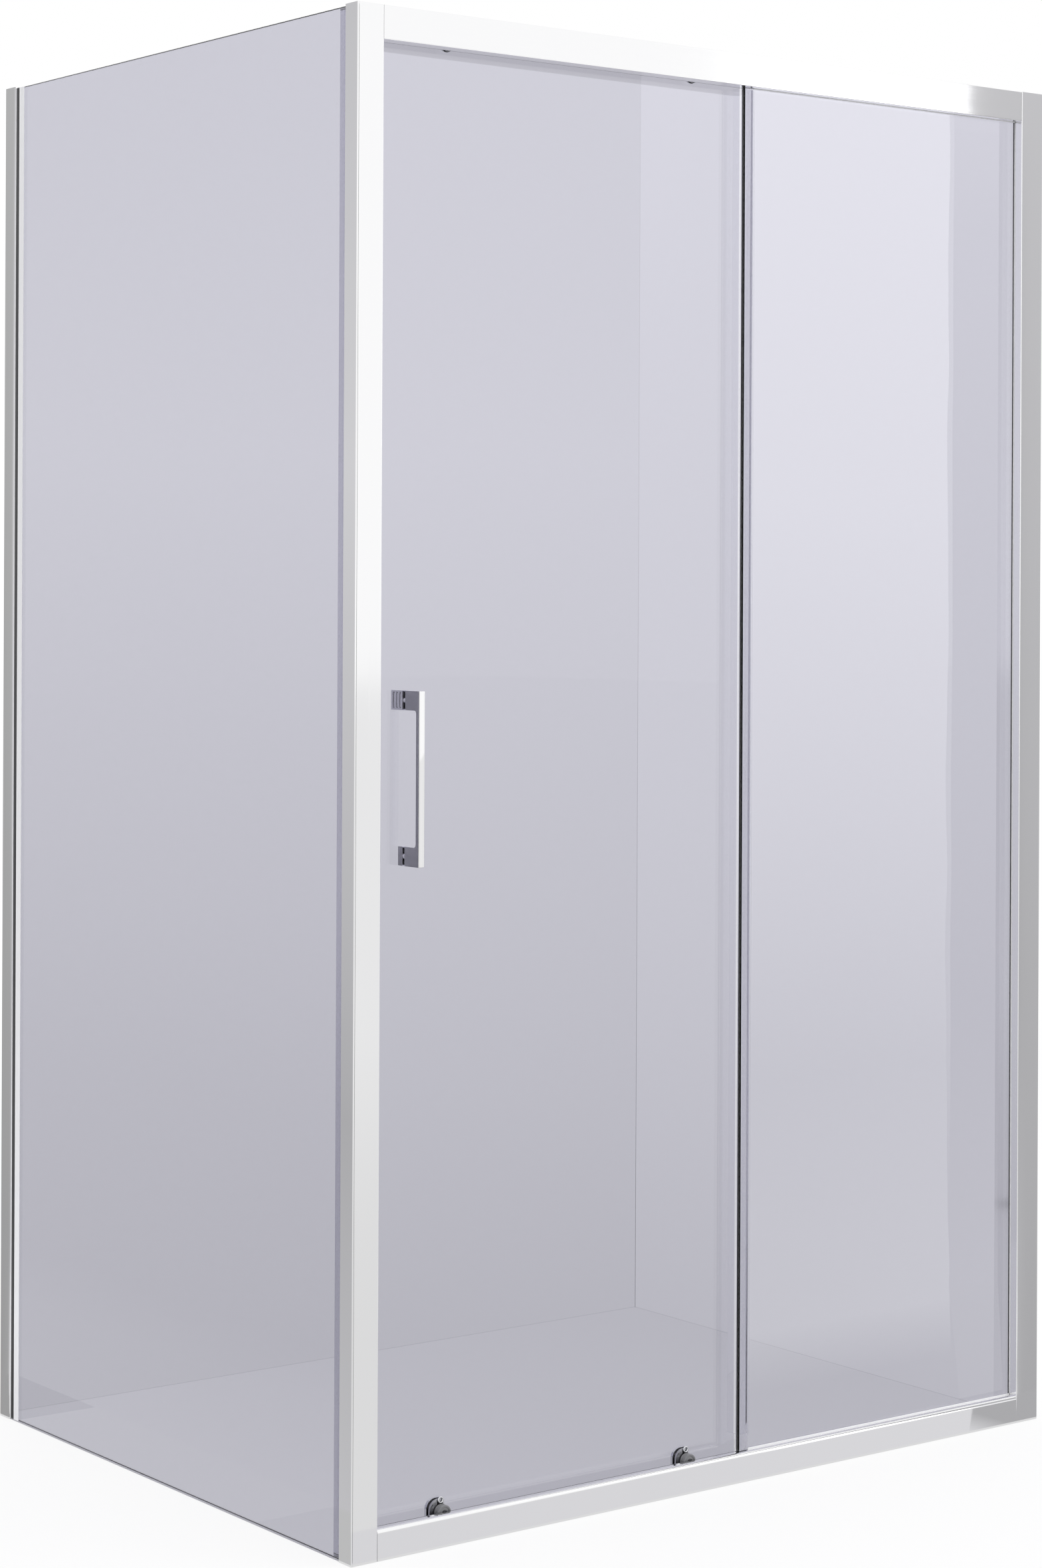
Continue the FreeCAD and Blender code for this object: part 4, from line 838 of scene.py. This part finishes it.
def grooved_block(low, high, sizes, corner):
    """The inner block of the handle, with three finger grooves in each side.

    A ring is a rectangle with round corners. Its sides are drawn in by
    depth * (sum of bells across the depth) * (flat-topped bell up the height).
    """
    rows = 49
    columns = 40
    arc_points = 5
    flat_power = 24
    bell_power = 4
    lows, highs = np.array(low), np.array(high)
    y = np.linspace(lows[1] + corner, highs[1] - corner, columns)
    places = lows[1] + (highs[1] - lows[1]) * np.array(GROOVE_PLACE_SHARES)
    levels = np.linspace(lows[2], highs[2], rows)
    middle = (lows[2] + highs[2]) / 2
    half = sizes.groove_length / 2
    up = 1 / (1 + (np.abs(levels - middle) / half) ** flat_power)
    bell = sizes.groove_width * GROOVE_BELL_SHARE
    across = np.exp(-((y[:, None] - places) / bell) ** bell_power).sum(1)
    dip = sizes.groove_depth * up[:, None] * across
    quarter = np.linspace(0, math.pi / 2, arc_points)
    arc = np.stack([np.cos(quarter), np.sin(quarter)], -1) * corner
    right = np.stack([highs[0] - dip, np.broadcast_to(y, dip.shape)], -1)
    left = np.stack([lows[0] + dip, np.broadcast_to(y, dip.shape)], -1)[:, ::-1]
    turns = []
    for x, y_place, quarter_turns in (
            (highs[0] - corner, highs[1] - corner, 0), (lows[0] + corner, highs[1] - corner, 1),
            (lows[0] + corner, lows[1] + corner, 2), (highs[0] - corner, lows[1] + corner, 3)):
        turn = np.linalg.matrix_power(np.array([[0, 1], [-1, 0]]), quarter_turns)
        points = arc[1:-1] @ turn + (x, y_place)
        turns.append(np.broadcast_to(points, (rows,) + points.shape))
    outlines = np.concatenate([right, turns[0], turns[1], left, turns[2], turns[3]], 1)
    return skin(placed(outlines, levels, AXES))


class ENCLOSURE_OT_handle(Operator):
    """Make the square pull with its inner block and cap"""

    bl_idname = "enclosure.handle"
    bl_label = "Handle"

    def execute(self, context):
        sizes = context.scene.enclosure_sizes
        low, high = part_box("handle_grip")
        bar_back = low[1] + sizes.handle_bar
        foot_top = low[2] + sizes.standoff
        foot_bottom = high[2] - sizes.standoff
        corners = [
            (low[1], low[2]), (high[1], low[2]), (high[1], foot_top), (bar_back, foot_top),
            (bar_back, foot_bottom), (high[1], foot_bottom), (high[1], high[2]), (low[1], high[2]),
        ]
        tip = sizes.handle_tip
        bend = sizes.handle_corner
        radii = [tip, tip, tip, bend, bend, tip, tip, tip]
        grip = rounded_bar(
            corners, radii, sizes.handle_edge, low[0], high[0], "yzx", corner_steps=6, edge_steps=4)
        piece("handle_grip_pull", [grip], "handle_grip")
        low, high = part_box("handle_inner_block")
        block = grooved_block(low, high, sizes, sizes.handle_edge)
        piece("handle_inner_block_grooved", [block], "handle_inner_block")
        low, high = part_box("handle_inner_cap")
        cap = rounded_block(low, high, "y", tip, sizes.handle_edge)
        piece("handle_inner_cap_rounded", [cap], "handle_inner_cap")
        return {"FINISHED"}


class ENCLOSURE_OT_wheels(Operator):
    """Make the grooved wheels with dished faces"""

    bl_idname = "enclosure.wheels"
    bl_label = "Wheels"

    def execute(self, context):
        sizes = context.scene.enclosure_sizes
        bores = {
            "upper_wheel": sizes.wheel_bore, "lower_wheel": sizes.wheel_bore,
            "bottom_wheel": sizes.bottom_bore,
        }
        for kind, bore in bores.items():
            for side in SIDES:
                node = f"{kind}_{side}"
                low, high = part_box(node)
                centre = (low + high) / 2
                surface = turned(self.outline(sizes, low, high, bore), centre, steps=72)
                piece(f"{node}_rolling", [surface], node)
        return {"FINISHED"}

    def outline(self, sizes, low, high, bore):
        """Half section of a wheel: hub, dished web, rim and track groove."""
        rim = (high[0] - low[0]) / 2
        near, far = low[1], high[1]
        middle = (near + far) / 2
        groove = rim - sizes.track_groove
        half = sizes.track_groove_width / 2
        dish = sizes.wheel_dish
        hub = bore + (rim - bore) * HUB_SHARE
        web = bore + (rim - bore) * WEB_SHARE
        corners = np.array([
            (bore, near), (hub, near), (hub, near + dish), (web, near + dish), (web, near), (rim, near),
            (rim, middle - half), (groove, middle - half), (groove, middle + half), (rim, middle + half),
            (rim, far), (web, far), (web, far - dish), (hub, far - dish), (hub, far), (bore, far),
        ])
        radii = np.full(len(corners), min(sizes.wheel_round, dish * DISH_ROUND_SHARE))
        return rounded_outline(corners, radii, steps=3)


class ENCLOSURE_OT_springs(Operator):
    """Make the release springs as coils"""

    bl_idname = "enclosure.springs"
    bl_label = "Release springs"

    def execute(self, context):
        sizes = context.scene.enclosure_sizes
        for side in SIDES:
            node = f"release_spring_{side}"
            low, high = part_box(node)
            made = piece(f"{node}_coil", [self.coil(sizes, low, high)], node)
            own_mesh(made)
        return {"FINISHED"}

    def coil(self, sizes, low, high):
        """A round wire carried along a helix.

        The helix is (R cos a, R sin a) at a height that grows evenly with a, and stays level for the first
        and last turn. The wire's ring is w*(cos b * n + sin b * m), where n points outwards and m is square
        to n and to the helix.
        """
        turn_steps = 20
        wire_points = 8
        wire = sizes.spring_wire
        turns = sizes.spring_turns
        centre = (np.array(low) + np.array(high)) / 2
        radius = (high[0] - low[0]) / 2 - wire
        a = np.linspace(0, 2 * math.pi * turns, turns * turn_steps + 1)
        rise = np.clip((a / (2 * math.pi) - 1) / (turns - 2), 0, 1)
        bottom = low[2] + wire
        height = bottom + (high[2] - wire - bottom) * rise
        outward = np.stack([np.cos(a), np.sin(a), np.zeros_like(a)], -1)
        path = np.stack([centre[0] + radius * np.cos(a), centre[1] + radius * np.sin(a), height], -1)
        along = np.gradient(path, axis=0)
        along /= np.linalg.norm(along, axis=1, keepdims=True)
        square = np.cross(along, outward)
        b = np.linspace(0, 2 * math.pi, wire_points, endpoint=False)[:, None]
        rings = path[:, None] + wire * (np.cos(b) * outward[:, None] + np.sin(b) * square[:, None])
        return skin(rings)


class ENCLOSURE_OT_screws(Operator):
    """Make the pan-head screws inside the wall posts, with their cross recesses"""

    bl_idname = "enclosure.screws"
    bl_label = "Post screws"

    def execute(self, context):
        sizes = context.scene.enclosure_sizes
        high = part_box("post_screws")[1]
        right_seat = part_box("right_wall_post")[1][1]
        left_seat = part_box("left_wall_post")[1][0]
        right_line = high[0] - sizes.screw_head
        left_line = high[1] - sizes.screw_head
        surfaces = []
        for share in CHANNEL_SCREW_SHARES:
            level = cad_high[2] * share
            surfaces.append(self.head(sizes, (right_line, right_seat, level), "xzy"))
            surfaces.append(self.head(sizes, (left_seat, left_line, level), "yzx"))
        piece("post_screw_heads", surfaces, "post_screws")
        return {"FINISHED"}

    def head(self, sizes, seat, axes):
        """A pan head with a cross recess.

        Along a meridian the radius is R*cos(u)^0.4 and the height H*sin(u)^0.8, u from 0 to a quarter turn.
        The recess takes depth * max(bar(p, q), bar(q, p)) off the height, where a bar is 1 within its half
        width and half length and falls off softly at its sides.
        """
        rows = 26
        columns = 72
        side_power = 0.4
        crown_power = 0.8
        tip_share = 0.01
        u = np.linspace(0, math.pi / 2, rows)[:, None]
        angle = np.linspace(0, 2 * math.pi, columns, endpoint=False)
        radius = sizes.screw_head * np.maximum(np.cos(u) ** side_power, tip_share) * np.ones_like(angle)
        height = sizes.screw_rise * np.sin(u) ** crown_power * np.ones_like(angle)
        p = radius * np.cos(angle)
        q = radius * np.sin(angle)
        bars = np.maximum(self.bar(sizes, p, q), self.bar(sizes, q, p))
        height = height - np.minimum(sizes.recess_depth * bars, height)
        places = [seat[AXES.index(axis)] for axis in axes]
        rings = np.empty(radius.shape + (3,))
        for values, place, axis in zip((p, q, height), places, axes):
            rings[..., AXES.index(axis)] = place + values
        return skin(rings)

    def bar(self, sizes, across, along):
        """One bar of the recess: the product of two soft steps, 1/(1 + e^t)."""
        soft = sizes.recess_width * RECESS_SOFT_SHARE
        limit = 40
        steps = [
            1 / (1 + np.exp(np.clip((np.abs(place) - reach) / soft, -limit, limit)))
            for place, reach in ((across, sizes.recess_width), (along, sizes.recess_length))]
        return steps[0] * steps[1]


# Where the floor's shadow and its light through glass fade out, in metres from the middle, and its lights,
# which are painted shade near the part in reflections and through glass
FLOOR_HALF = 30.0
FLOOR_DROP = 0.0006
FLOOR_SHADE_SHARE = 0.98
SHADOW_REACH = (1.2, 5.0)
THROUGH_REACH = (1.2, 9.0)
CAMERA_LIFT_SHARE = 0.85
MIRRORED_FLOOR_PAINTED_SHADE = (0.74, 0.84)
THROUGH_FLOOR_PAINTED_SHADE = (0.75, 0.90)

# The sky through glass: its light at two rises of the view
HORIZON_RISES = (-0.065, 0.161)
HORIZON_LIGHTS = (0.90, 1.03)

# Place, width and power of each lamp
LAMPS = {
    "top_lamp": ((-0.3, -0.4, 4.6), 3.2, "top_power"),
    "key_lamp": ((2.6, -3.6, 2.6), 1.8, "key_power"),
}

# Upright cards for reflections: their ends in X and Y, steps of a height and the light at it, their colour
PANE_ENDS = ((1.089, -1.095), (1.205, -1.095))
MIRRORED_CARDS = {
    "softbox": (((2.31, -3.035), (3.0, -3.035)), ((0.0, 1.2), (1.4, 2.45), (3.0, 2.45)), WHITE),
    "pane_card": (PANE_ENDS, ((0.0, 1.0), (0.5, 0.15), (1.80, 0.20), (1.97, 0.45)), COOL),
    "rail_card": (PANE_ENDS, ((1.97, 0.57), (2.4, 0.58)), COOL),
    "post_card": (((1.205, -1.095), (1.6, -1.095)), ((0.0, 0.42), (2.4, 0.60)), COOL),
    "corner_card": (
        ((-0.72, -0.40), (-0.72, -0.225)), ((0.0, 0.55), (0.5, 0.43), (1.35, 0.655), (2.2, 0.52)), COOL),
    "side_card": (
        ((-0.72, -0.225), (-0.72, 0.652)),
        ((0.0, 0.72), (0.12, 0.62), (0.2, 0.46), (0.5, 0.42), (1.35, 0.655), (2.2, 0.52)), COOL),
    "left_card": (((-0.72, 0.652), (-0.72, 0.74)), ((0.0, 0.34), (2.2, 0.47)), WHITE),
}
# Cards on the floor for reflections: corners, two lights, the axis between them and its span, their colour
CARD_LEVEL = 0.002
# The rail and front cards are painted shade on the floor before the bottom rail, and the softbox and near
# cards painted light on the floor before the softbox, seen in reflections alone.
FLOOR_CARDS = {
    "rail_floor_card": (
        ((0.46, -0.449), (1.6, -0.449), (1.6, -0.56), (0.58, -0.56)), (0.70, 0.43), "x", (0.46, 0.54), COOL),
    "pane_floor_card": (
        ((0.58, -0.56), (0.67, -0.56), (1.205, -1.095), (1.089, -1.095)), (0.95, 0.95), "y", None, WHITE),
    "post_floor_card": (
        ((0.67, -0.56), (1.6, -0.56), (1.6, -1.095), (1.205, -1.095)), (0.42, 0.42), "y", None, COOL),
    "front_floor_card": (
        ((-0.594, -0.449), (0.46, -0.449), (0.58, -0.56), (-0.594, -0.56)), (0.71, 0.73), "x", None, COOL),
    "corner_floor_card": (
        ((-0.72, -0.447), (-0.595, -0.447), (-0.595, -0.225), (-0.72, -0.225)), (0.52, 0.52), "y", None,
        WHITE),
    "side_floor_card": (
        ((-0.72, -0.225), (-0.595, -0.225), (-0.595, 0.40), (-0.72, 0.40)), (0.75, 0.75), "y", None, WHITE),
    "left_floor_card": (
        ((-0.72, 0.40), (-0.595, 0.40), (-0.595, 0.74), (-0.72, 0.74)), (0.35, 0.35), "y", None, WHITE),
    "softbox_floor_card": (
        ((2.31, -3.035), (3.0, -3.035), (1.046, -1.05), (0.582, -1.05)), (1.2, 1.81), "y", None, WHITE),
    "near_floor_card": (
        ((0.582, -1.05), (1.046, -1.05), (0.76, -0.76), (0.33, -0.76)), (1.81, 0.73), "y", None, WHITE),
}
# The room behind the glass: upright cards as above, and flat ones that reach to its far corner. Their glow is
# painted light, with painted shade low on the walls and lines of painted shadow where walls and floor meet.
ROOM_LEFT = -0.594
ROOM_RIGHT = 0.578
ROOM_FRONT = -0.40
ROOM_REAR = 0.4475
WALL_SHADOW_LINE = 0.0012
FLOOR_LINE = 0.0016
ROOM_FLOOR_LEVEL = 0.001
FLOOR_LINE_LEVEL = 0.002
ROOM_WALLS = {
    "rear_wall": (
        ((ROOM_LEFT, ROOM_REAR), (ROOM_RIGHT, ROOM_REAR)), ((0.0, 0.735), (1.4, 0.985), (2.4, 1.01))),
    "right_wall": (
        ((ROOM_RIGHT, ROOM_REAR), (ROOM_RIGHT, ROOM_FRONT)), ((0.0, 0.77), (0.85, 0.94), (2.4, 1.16))),
    "wall_line": (
        ((ROOM_RIGHT - WALL_SHADOW_LINE, ROOM_REAR - WALL_SHADOW_LINE), (ROOM_RIGHT, ROOM_REAR - WALL_SHADOW_LINE)),
        ((0.0, 0.30), (1.3, 0.80), (2.4, 1.0))),
}
ROOM_FLOORS = {
    "inner_floor": ((ROOM_LEFT, ROOM_FRONT), ROOM_FLOOR_LEVEL, (0.80, 0.74), "x"),
    "rear_line": ((ROOM_LEFT, ROOM_REAR - FLOOR_LINE), FLOOR_LINE_LEVEL, (0.5, 0.5), "x"),
    "right_line": ((ROOM_RIGHT - FLOOR_LINE, ROOM_FRONT), FLOOR_LINE_LEVEL, (0.5, 0.5), "y"),
}


def upright_card(first, last, bottom, top):
    """Corners of a card that stands between two places, from one height to another."""
    return [(*first, bottom), (*last, bottom), (*last, top), (*first, top)]


def flat_card(corners, level):
    """Corners of a card that lies at a level."""
    return [(*corner, level) for corner in corners]


def stacked_cards(name, ends, steps, **settings):
    """Upright cards one above the other, through steps of a height and the light at it."""
    for count, (low, high) in enumerate(zip(steps, steps[1:])):
        corners = upright_card(*ends, low[0], high[0])
        emission_card(f"{name}_{count}", corners, (low[1], high[1]), **settings)


def emission_card(name, corners, lights, axis="z", span=None, rgb=WHITE, behind_glass=False):
    """A flat card whose light runs between two strengths along an axis.

    It is seen in reflections alone, or else through glass alone.
    """
    mesh = bpy.data.meshes.new(name)
    mesh.from_pydata(corners, [], [range(len(corners))])
    material = bpy.data.materials.new(name)
    material.use_nodes = True
    tree = material.node_tree
    tree.nodes.clear()
    places = [corner[AXES.index(axis)] for corner in corners]
    strength = ramp(tree, place_along(tree, axis), span or (min(places), max(places)), lights)
    light = add_node(tree, "ShaderNodeEmission", Color=opaque(rgb), Strength=strength)
    add_node(tree, "ShaderNodeOutputMaterial", Surface=light.outputs[0])
    mesh.materials.append(material)
    card = bpy.data.objects.new(name, mesh)
    card.visible_camera = False
    card.visible_diffuse = False
    card.visible_glossy = not behind_glass
    card.visible_transmission = behind_glass
    card.visible_volume_scatter = False
    card.visible_shadow = False
    bpy.context.scene.collection.objects.link(card)
    return card


class ENCLOSURE_OT_stage(Operator):
    """Set the camera, the pale floor, the white surroundings and the soft lamps"""

    bl_idname = "enclosure.stage"
    bl_label = "Stage"

    def execute(self, context):
        values = context.scene.enclosure_stage
        self.set_camera(context, values)
        self.set_world(context, values)
        self.set_floor(context)
        self.set_lamps(context, values)
        self.set_cards()
        self.set_walls()
        context.scene.view_settings.view_transform = "Standard"
        return {"FINISHED"}

    def set_camera(self, context, values):
        """The lens follows from the focal length in pixels over the longer side of the picture."""
        data = bpy.data.cameras.new("camera")
        long_side = max(PHOTO_WIDTH, PHOTO_HEIGHT)
        data.lens = data.sensor_width * values.focal_pixels / long_side
        data.shift_y = (values.horizon_pixel - PHOTO_HEIGHT / 2) / long_side
        camera = bpy.data.objects.new("camera", data)
        turn = Matrix.Rotation(values.heading, 4, "Z") @ Matrix.Rotation(math.pi / 2, 4, "X")
        camera.matrix_world = Matrix.Translation(values.eye) @ turn @ Matrix.Rotation(values.roll, 4, "Z")
        context.scene.collection.objects.link(camera)
        context.scene.camera = camera

    def seen_rays(self, tree):
        """1 for camera, mirror and see-through rays, 0 for the rays that light matt surfaces."""
        path = add_node(tree, "ShaderNodeLightPath")
        seen = combined(tree, "MAXIMUM", path.outputs["Is Camera Ray"], path.outputs["Is Glossy Ray"])
        return path, combined(tree, "MAXIMUM", seen, path.outputs["Is Transmission Ray"])

    def set_world(self, context, values):
        """White where it is seen. Through the glass it falls off a little towards the horizon."""
        world = bpy.data.worlds.new("white_surroundings")
        world.use_nodes = True
        tree = world.node_tree
        tree.nodes.clear()
        path, seen = self.seen_rays(tree)
        way = add_node(tree, "ShaderNodeTexCoord").outputs["Generated"]
        rise = add_node(tree, "ShaderNodeSeparateXYZ", Vector=way).outputs["Z"]
        behind = ramp(tree, rise, HORIZON_RISES, HORIZON_LIGHTS)
        lit = blend(tree, seen, values.room_light, 1.0)
        strength = blend(tree, path.outputs["Is Transmission Ray"], lit, behind)
        sky = add_node(tree, "ShaderNodeBackground", Color=opaque(WHITE), Strength=strength)
        add_node(tree, "ShaderNodeOutputWorld", Surface=sky.outputs[0])
        context.scene.world = world

    def set_floor(self, context):
        """A matt floor that keeps the shadow near the part and goes white further away. In reflections and
        through glass it glows instead, with painted shade near the part.
        """
        corners = flat_card(rectangle((-FLOOR_HALF, -FLOOR_HALF), (FLOOR_HALF, FLOOR_HALF)), -FLOOR_DROP)
        mesh = bpy.data.meshes.new("floor")
        mesh.from_pydata(corners, [], [range(len(corners))])
        material = bpy.data.materials.new("pale_floor")
        material.use_nodes = True
        tree = material.node_tree
        tree.nodes.clear()
        path, seen = self.seen_rays(tree)
        place = add_node(tree, "ShaderNodeTexCoord").outputs["Object"]
        distance = add_node(tree, "ShaderNodeVectorMath", {"operation": "LENGTH"}, Vector=place)
        smooth = {"interpolation_type": "SMOOTHSTEP"}
        far = ramp(tree, distance.outputs["Value"], SHADOW_REACH, (0.0, 1.0), smooth)
        beyond = ramp(tree, distance.outputs["Value"], THROUGH_REACH, (0.0, 1.0), smooth)
        through = path.outputs["Is Transmission Ray"]
        mirrored = path.outputs["Is Glossy Ray"]
        lift = combined(tree, "MULTIPLY", path.outputs["Is Camera Ray"], CAMERA_LIFT_SHARE)
        share = combined(tree, "MAXIMUM", far, combined(tree, "MAXIMUM", lift, through))
        share = combined(tree, "MAXIMUM", share, mirrored)
        floor_rgb = context.scene.enclosure_colours.floor
        grain = noise(tree, FLOOR_GRAIN)
        shade = tint(tree, grain, opaque(floor_rgb, FLOOR_SHADE_SHARE), opaque(floor_rgb))
        matt = add_node(tree, "ShaderNodeBsdfDiffuse", Color=shade)
        # Painted shade: the glow seen in reflections and through glass is darker near the part.
        light = blend(tree, mirrored, seen, blend(tree, far, *MIRRORED_FLOOR_PAINTED_SHADE))
        light = blend(tree, through, light, blend(tree, beyond, *THROUGH_FLOOR_PAINTED_SHADE))
        white = add_node(tree, "ShaderNodeEmission", Strength=light)
        mix = add_node(tree, "ShaderNodeMixShader", Fac=share)
        tree.links.new(matt.outputs[0], mix.inputs[1])
        tree.links.new(white.outputs[0], mix.inputs[2])
        add_node(tree, "ShaderNodeOutputMaterial", Surface=mix.outputs[0])
        mesh.materials.append(material)
        floor = bpy.data.objects.new("floor", mesh)
        context.scene.collection.objects.link(floor)

    def set_lamps(self, context, values):
        """A broad lamp overhead and one in front, neither of them seen in the metal."""
        middle = Vector(((cad_low[0] + cad_high[0]) / 2, (cad_low[1] + cad_high[1]) / 2, cad_high[2] / 2))
        for name, (place, side, power) in LAMPS.items():
            data = bpy.data.lights.new(name, "AREA")
            data.energy = getattr(values, power)
            data.size = side
            lamp = bpy.data.objects.new(name, data)
            lamp.location = place
            lamp.rotation_euler = (middle - Vector(place)).to_track_quat("-Z", "Y").to_euler()
            lamp.visible_glossy = False
            lamp.visible_transmission = False
            context.scene.collection.objects.link(lamp)

    def set_cards(self):
        """What the bright surfaces mirror besides white: a softbox, and grey on both sides."""
        for name, (ends, steps, rgb) in MIRRORED_CARDS.items():
            stacked_cards(name, ends, steps, rgb=rgb)
        for name, (corners, lights, axis, span, rgb) in FLOOR_CARDS.items():
            emission_card(name, flat_card(corners, CARD_LEVEL), lights, axis, span, rgb)

    def set_walls(self):
        """The room behind the glass, glowing with painted light: two walls with painted shade towards the
        floor, the floor between them, and lines of painted shadow where they meet.
        """
        for name, (ends, steps) in ROOM_WALLS.items():
            stacked_cards(name, ends, steps, behind_glass=True)
        for name, (first, level, lights, axis) in ROOM_FLOORS.items():
            corners = flat_card(rectangle(first, (ROOM_RIGHT, ROOM_REAR)), level)
            emission_card(name, corners, lights, axis, behind_glass=True)


BUILDERS = (
    ENCLOSURE_OT_finishes,
    ENCLOSURE_OT_panes,
    ENCLOSURE_OT_gaskets,
    ENCLOSURE_OT_seals,
    ENCLOSURE_OT_handle,
    ENCLOSURE_OT_wheels,
    ENCLOSURE_OT_springs,
    ENCLOSURE_OT_screws,
    ENCLOSURE_OT_stage,
)
GROUPS = (EnclosureSizes, EnclosureColours, EnclosureStage)


class ENCLOSURE_PT_build(Panel):
    """Lists the steps that dress the enclosure"""

    bl_label = "Shower enclosure"
    bl_idname = "ENCLOSURE_PT_build"
    bl_space_type = "VIEW_3D"
    bl_region_type = "UI"
    bl_category = "Enclosure"

    def draw(self, context):
        for builder in BUILDERS:
            self.layout.operator(builder.bl_idname)


def register():
    for item in GROUPS + BUILDERS + (ENCLOSURE_PT_build,):
        bpy.utils.register_class(item)
    Scene.enclosure_sizes = PointerProperty(type=EnclosureSizes)
    Scene.enclosure_colours = PointerProperty(type=EnclosureColours)
    Scene.enclosure_stage = PointerProperty(type=EnclosureStage)


def unregister():
    del Scene.enclosure_stage
    del Scene.enclosure_colours
    del Scene.enclosure_sizes
    for item in reversed(GROUPS + BUILDERS + (ENCLOSURE_PT_build,)):
        bpy.utils.unregister_class(item)


def main():
    """Dress the enclosure step by step."""
    register()
    for builder in BUILDERS:
        group, name = builder.bl_idname.split(".")
        getattr(getattr(bpy.ops, group), name)()


if __name__ == "__main__":
    main()
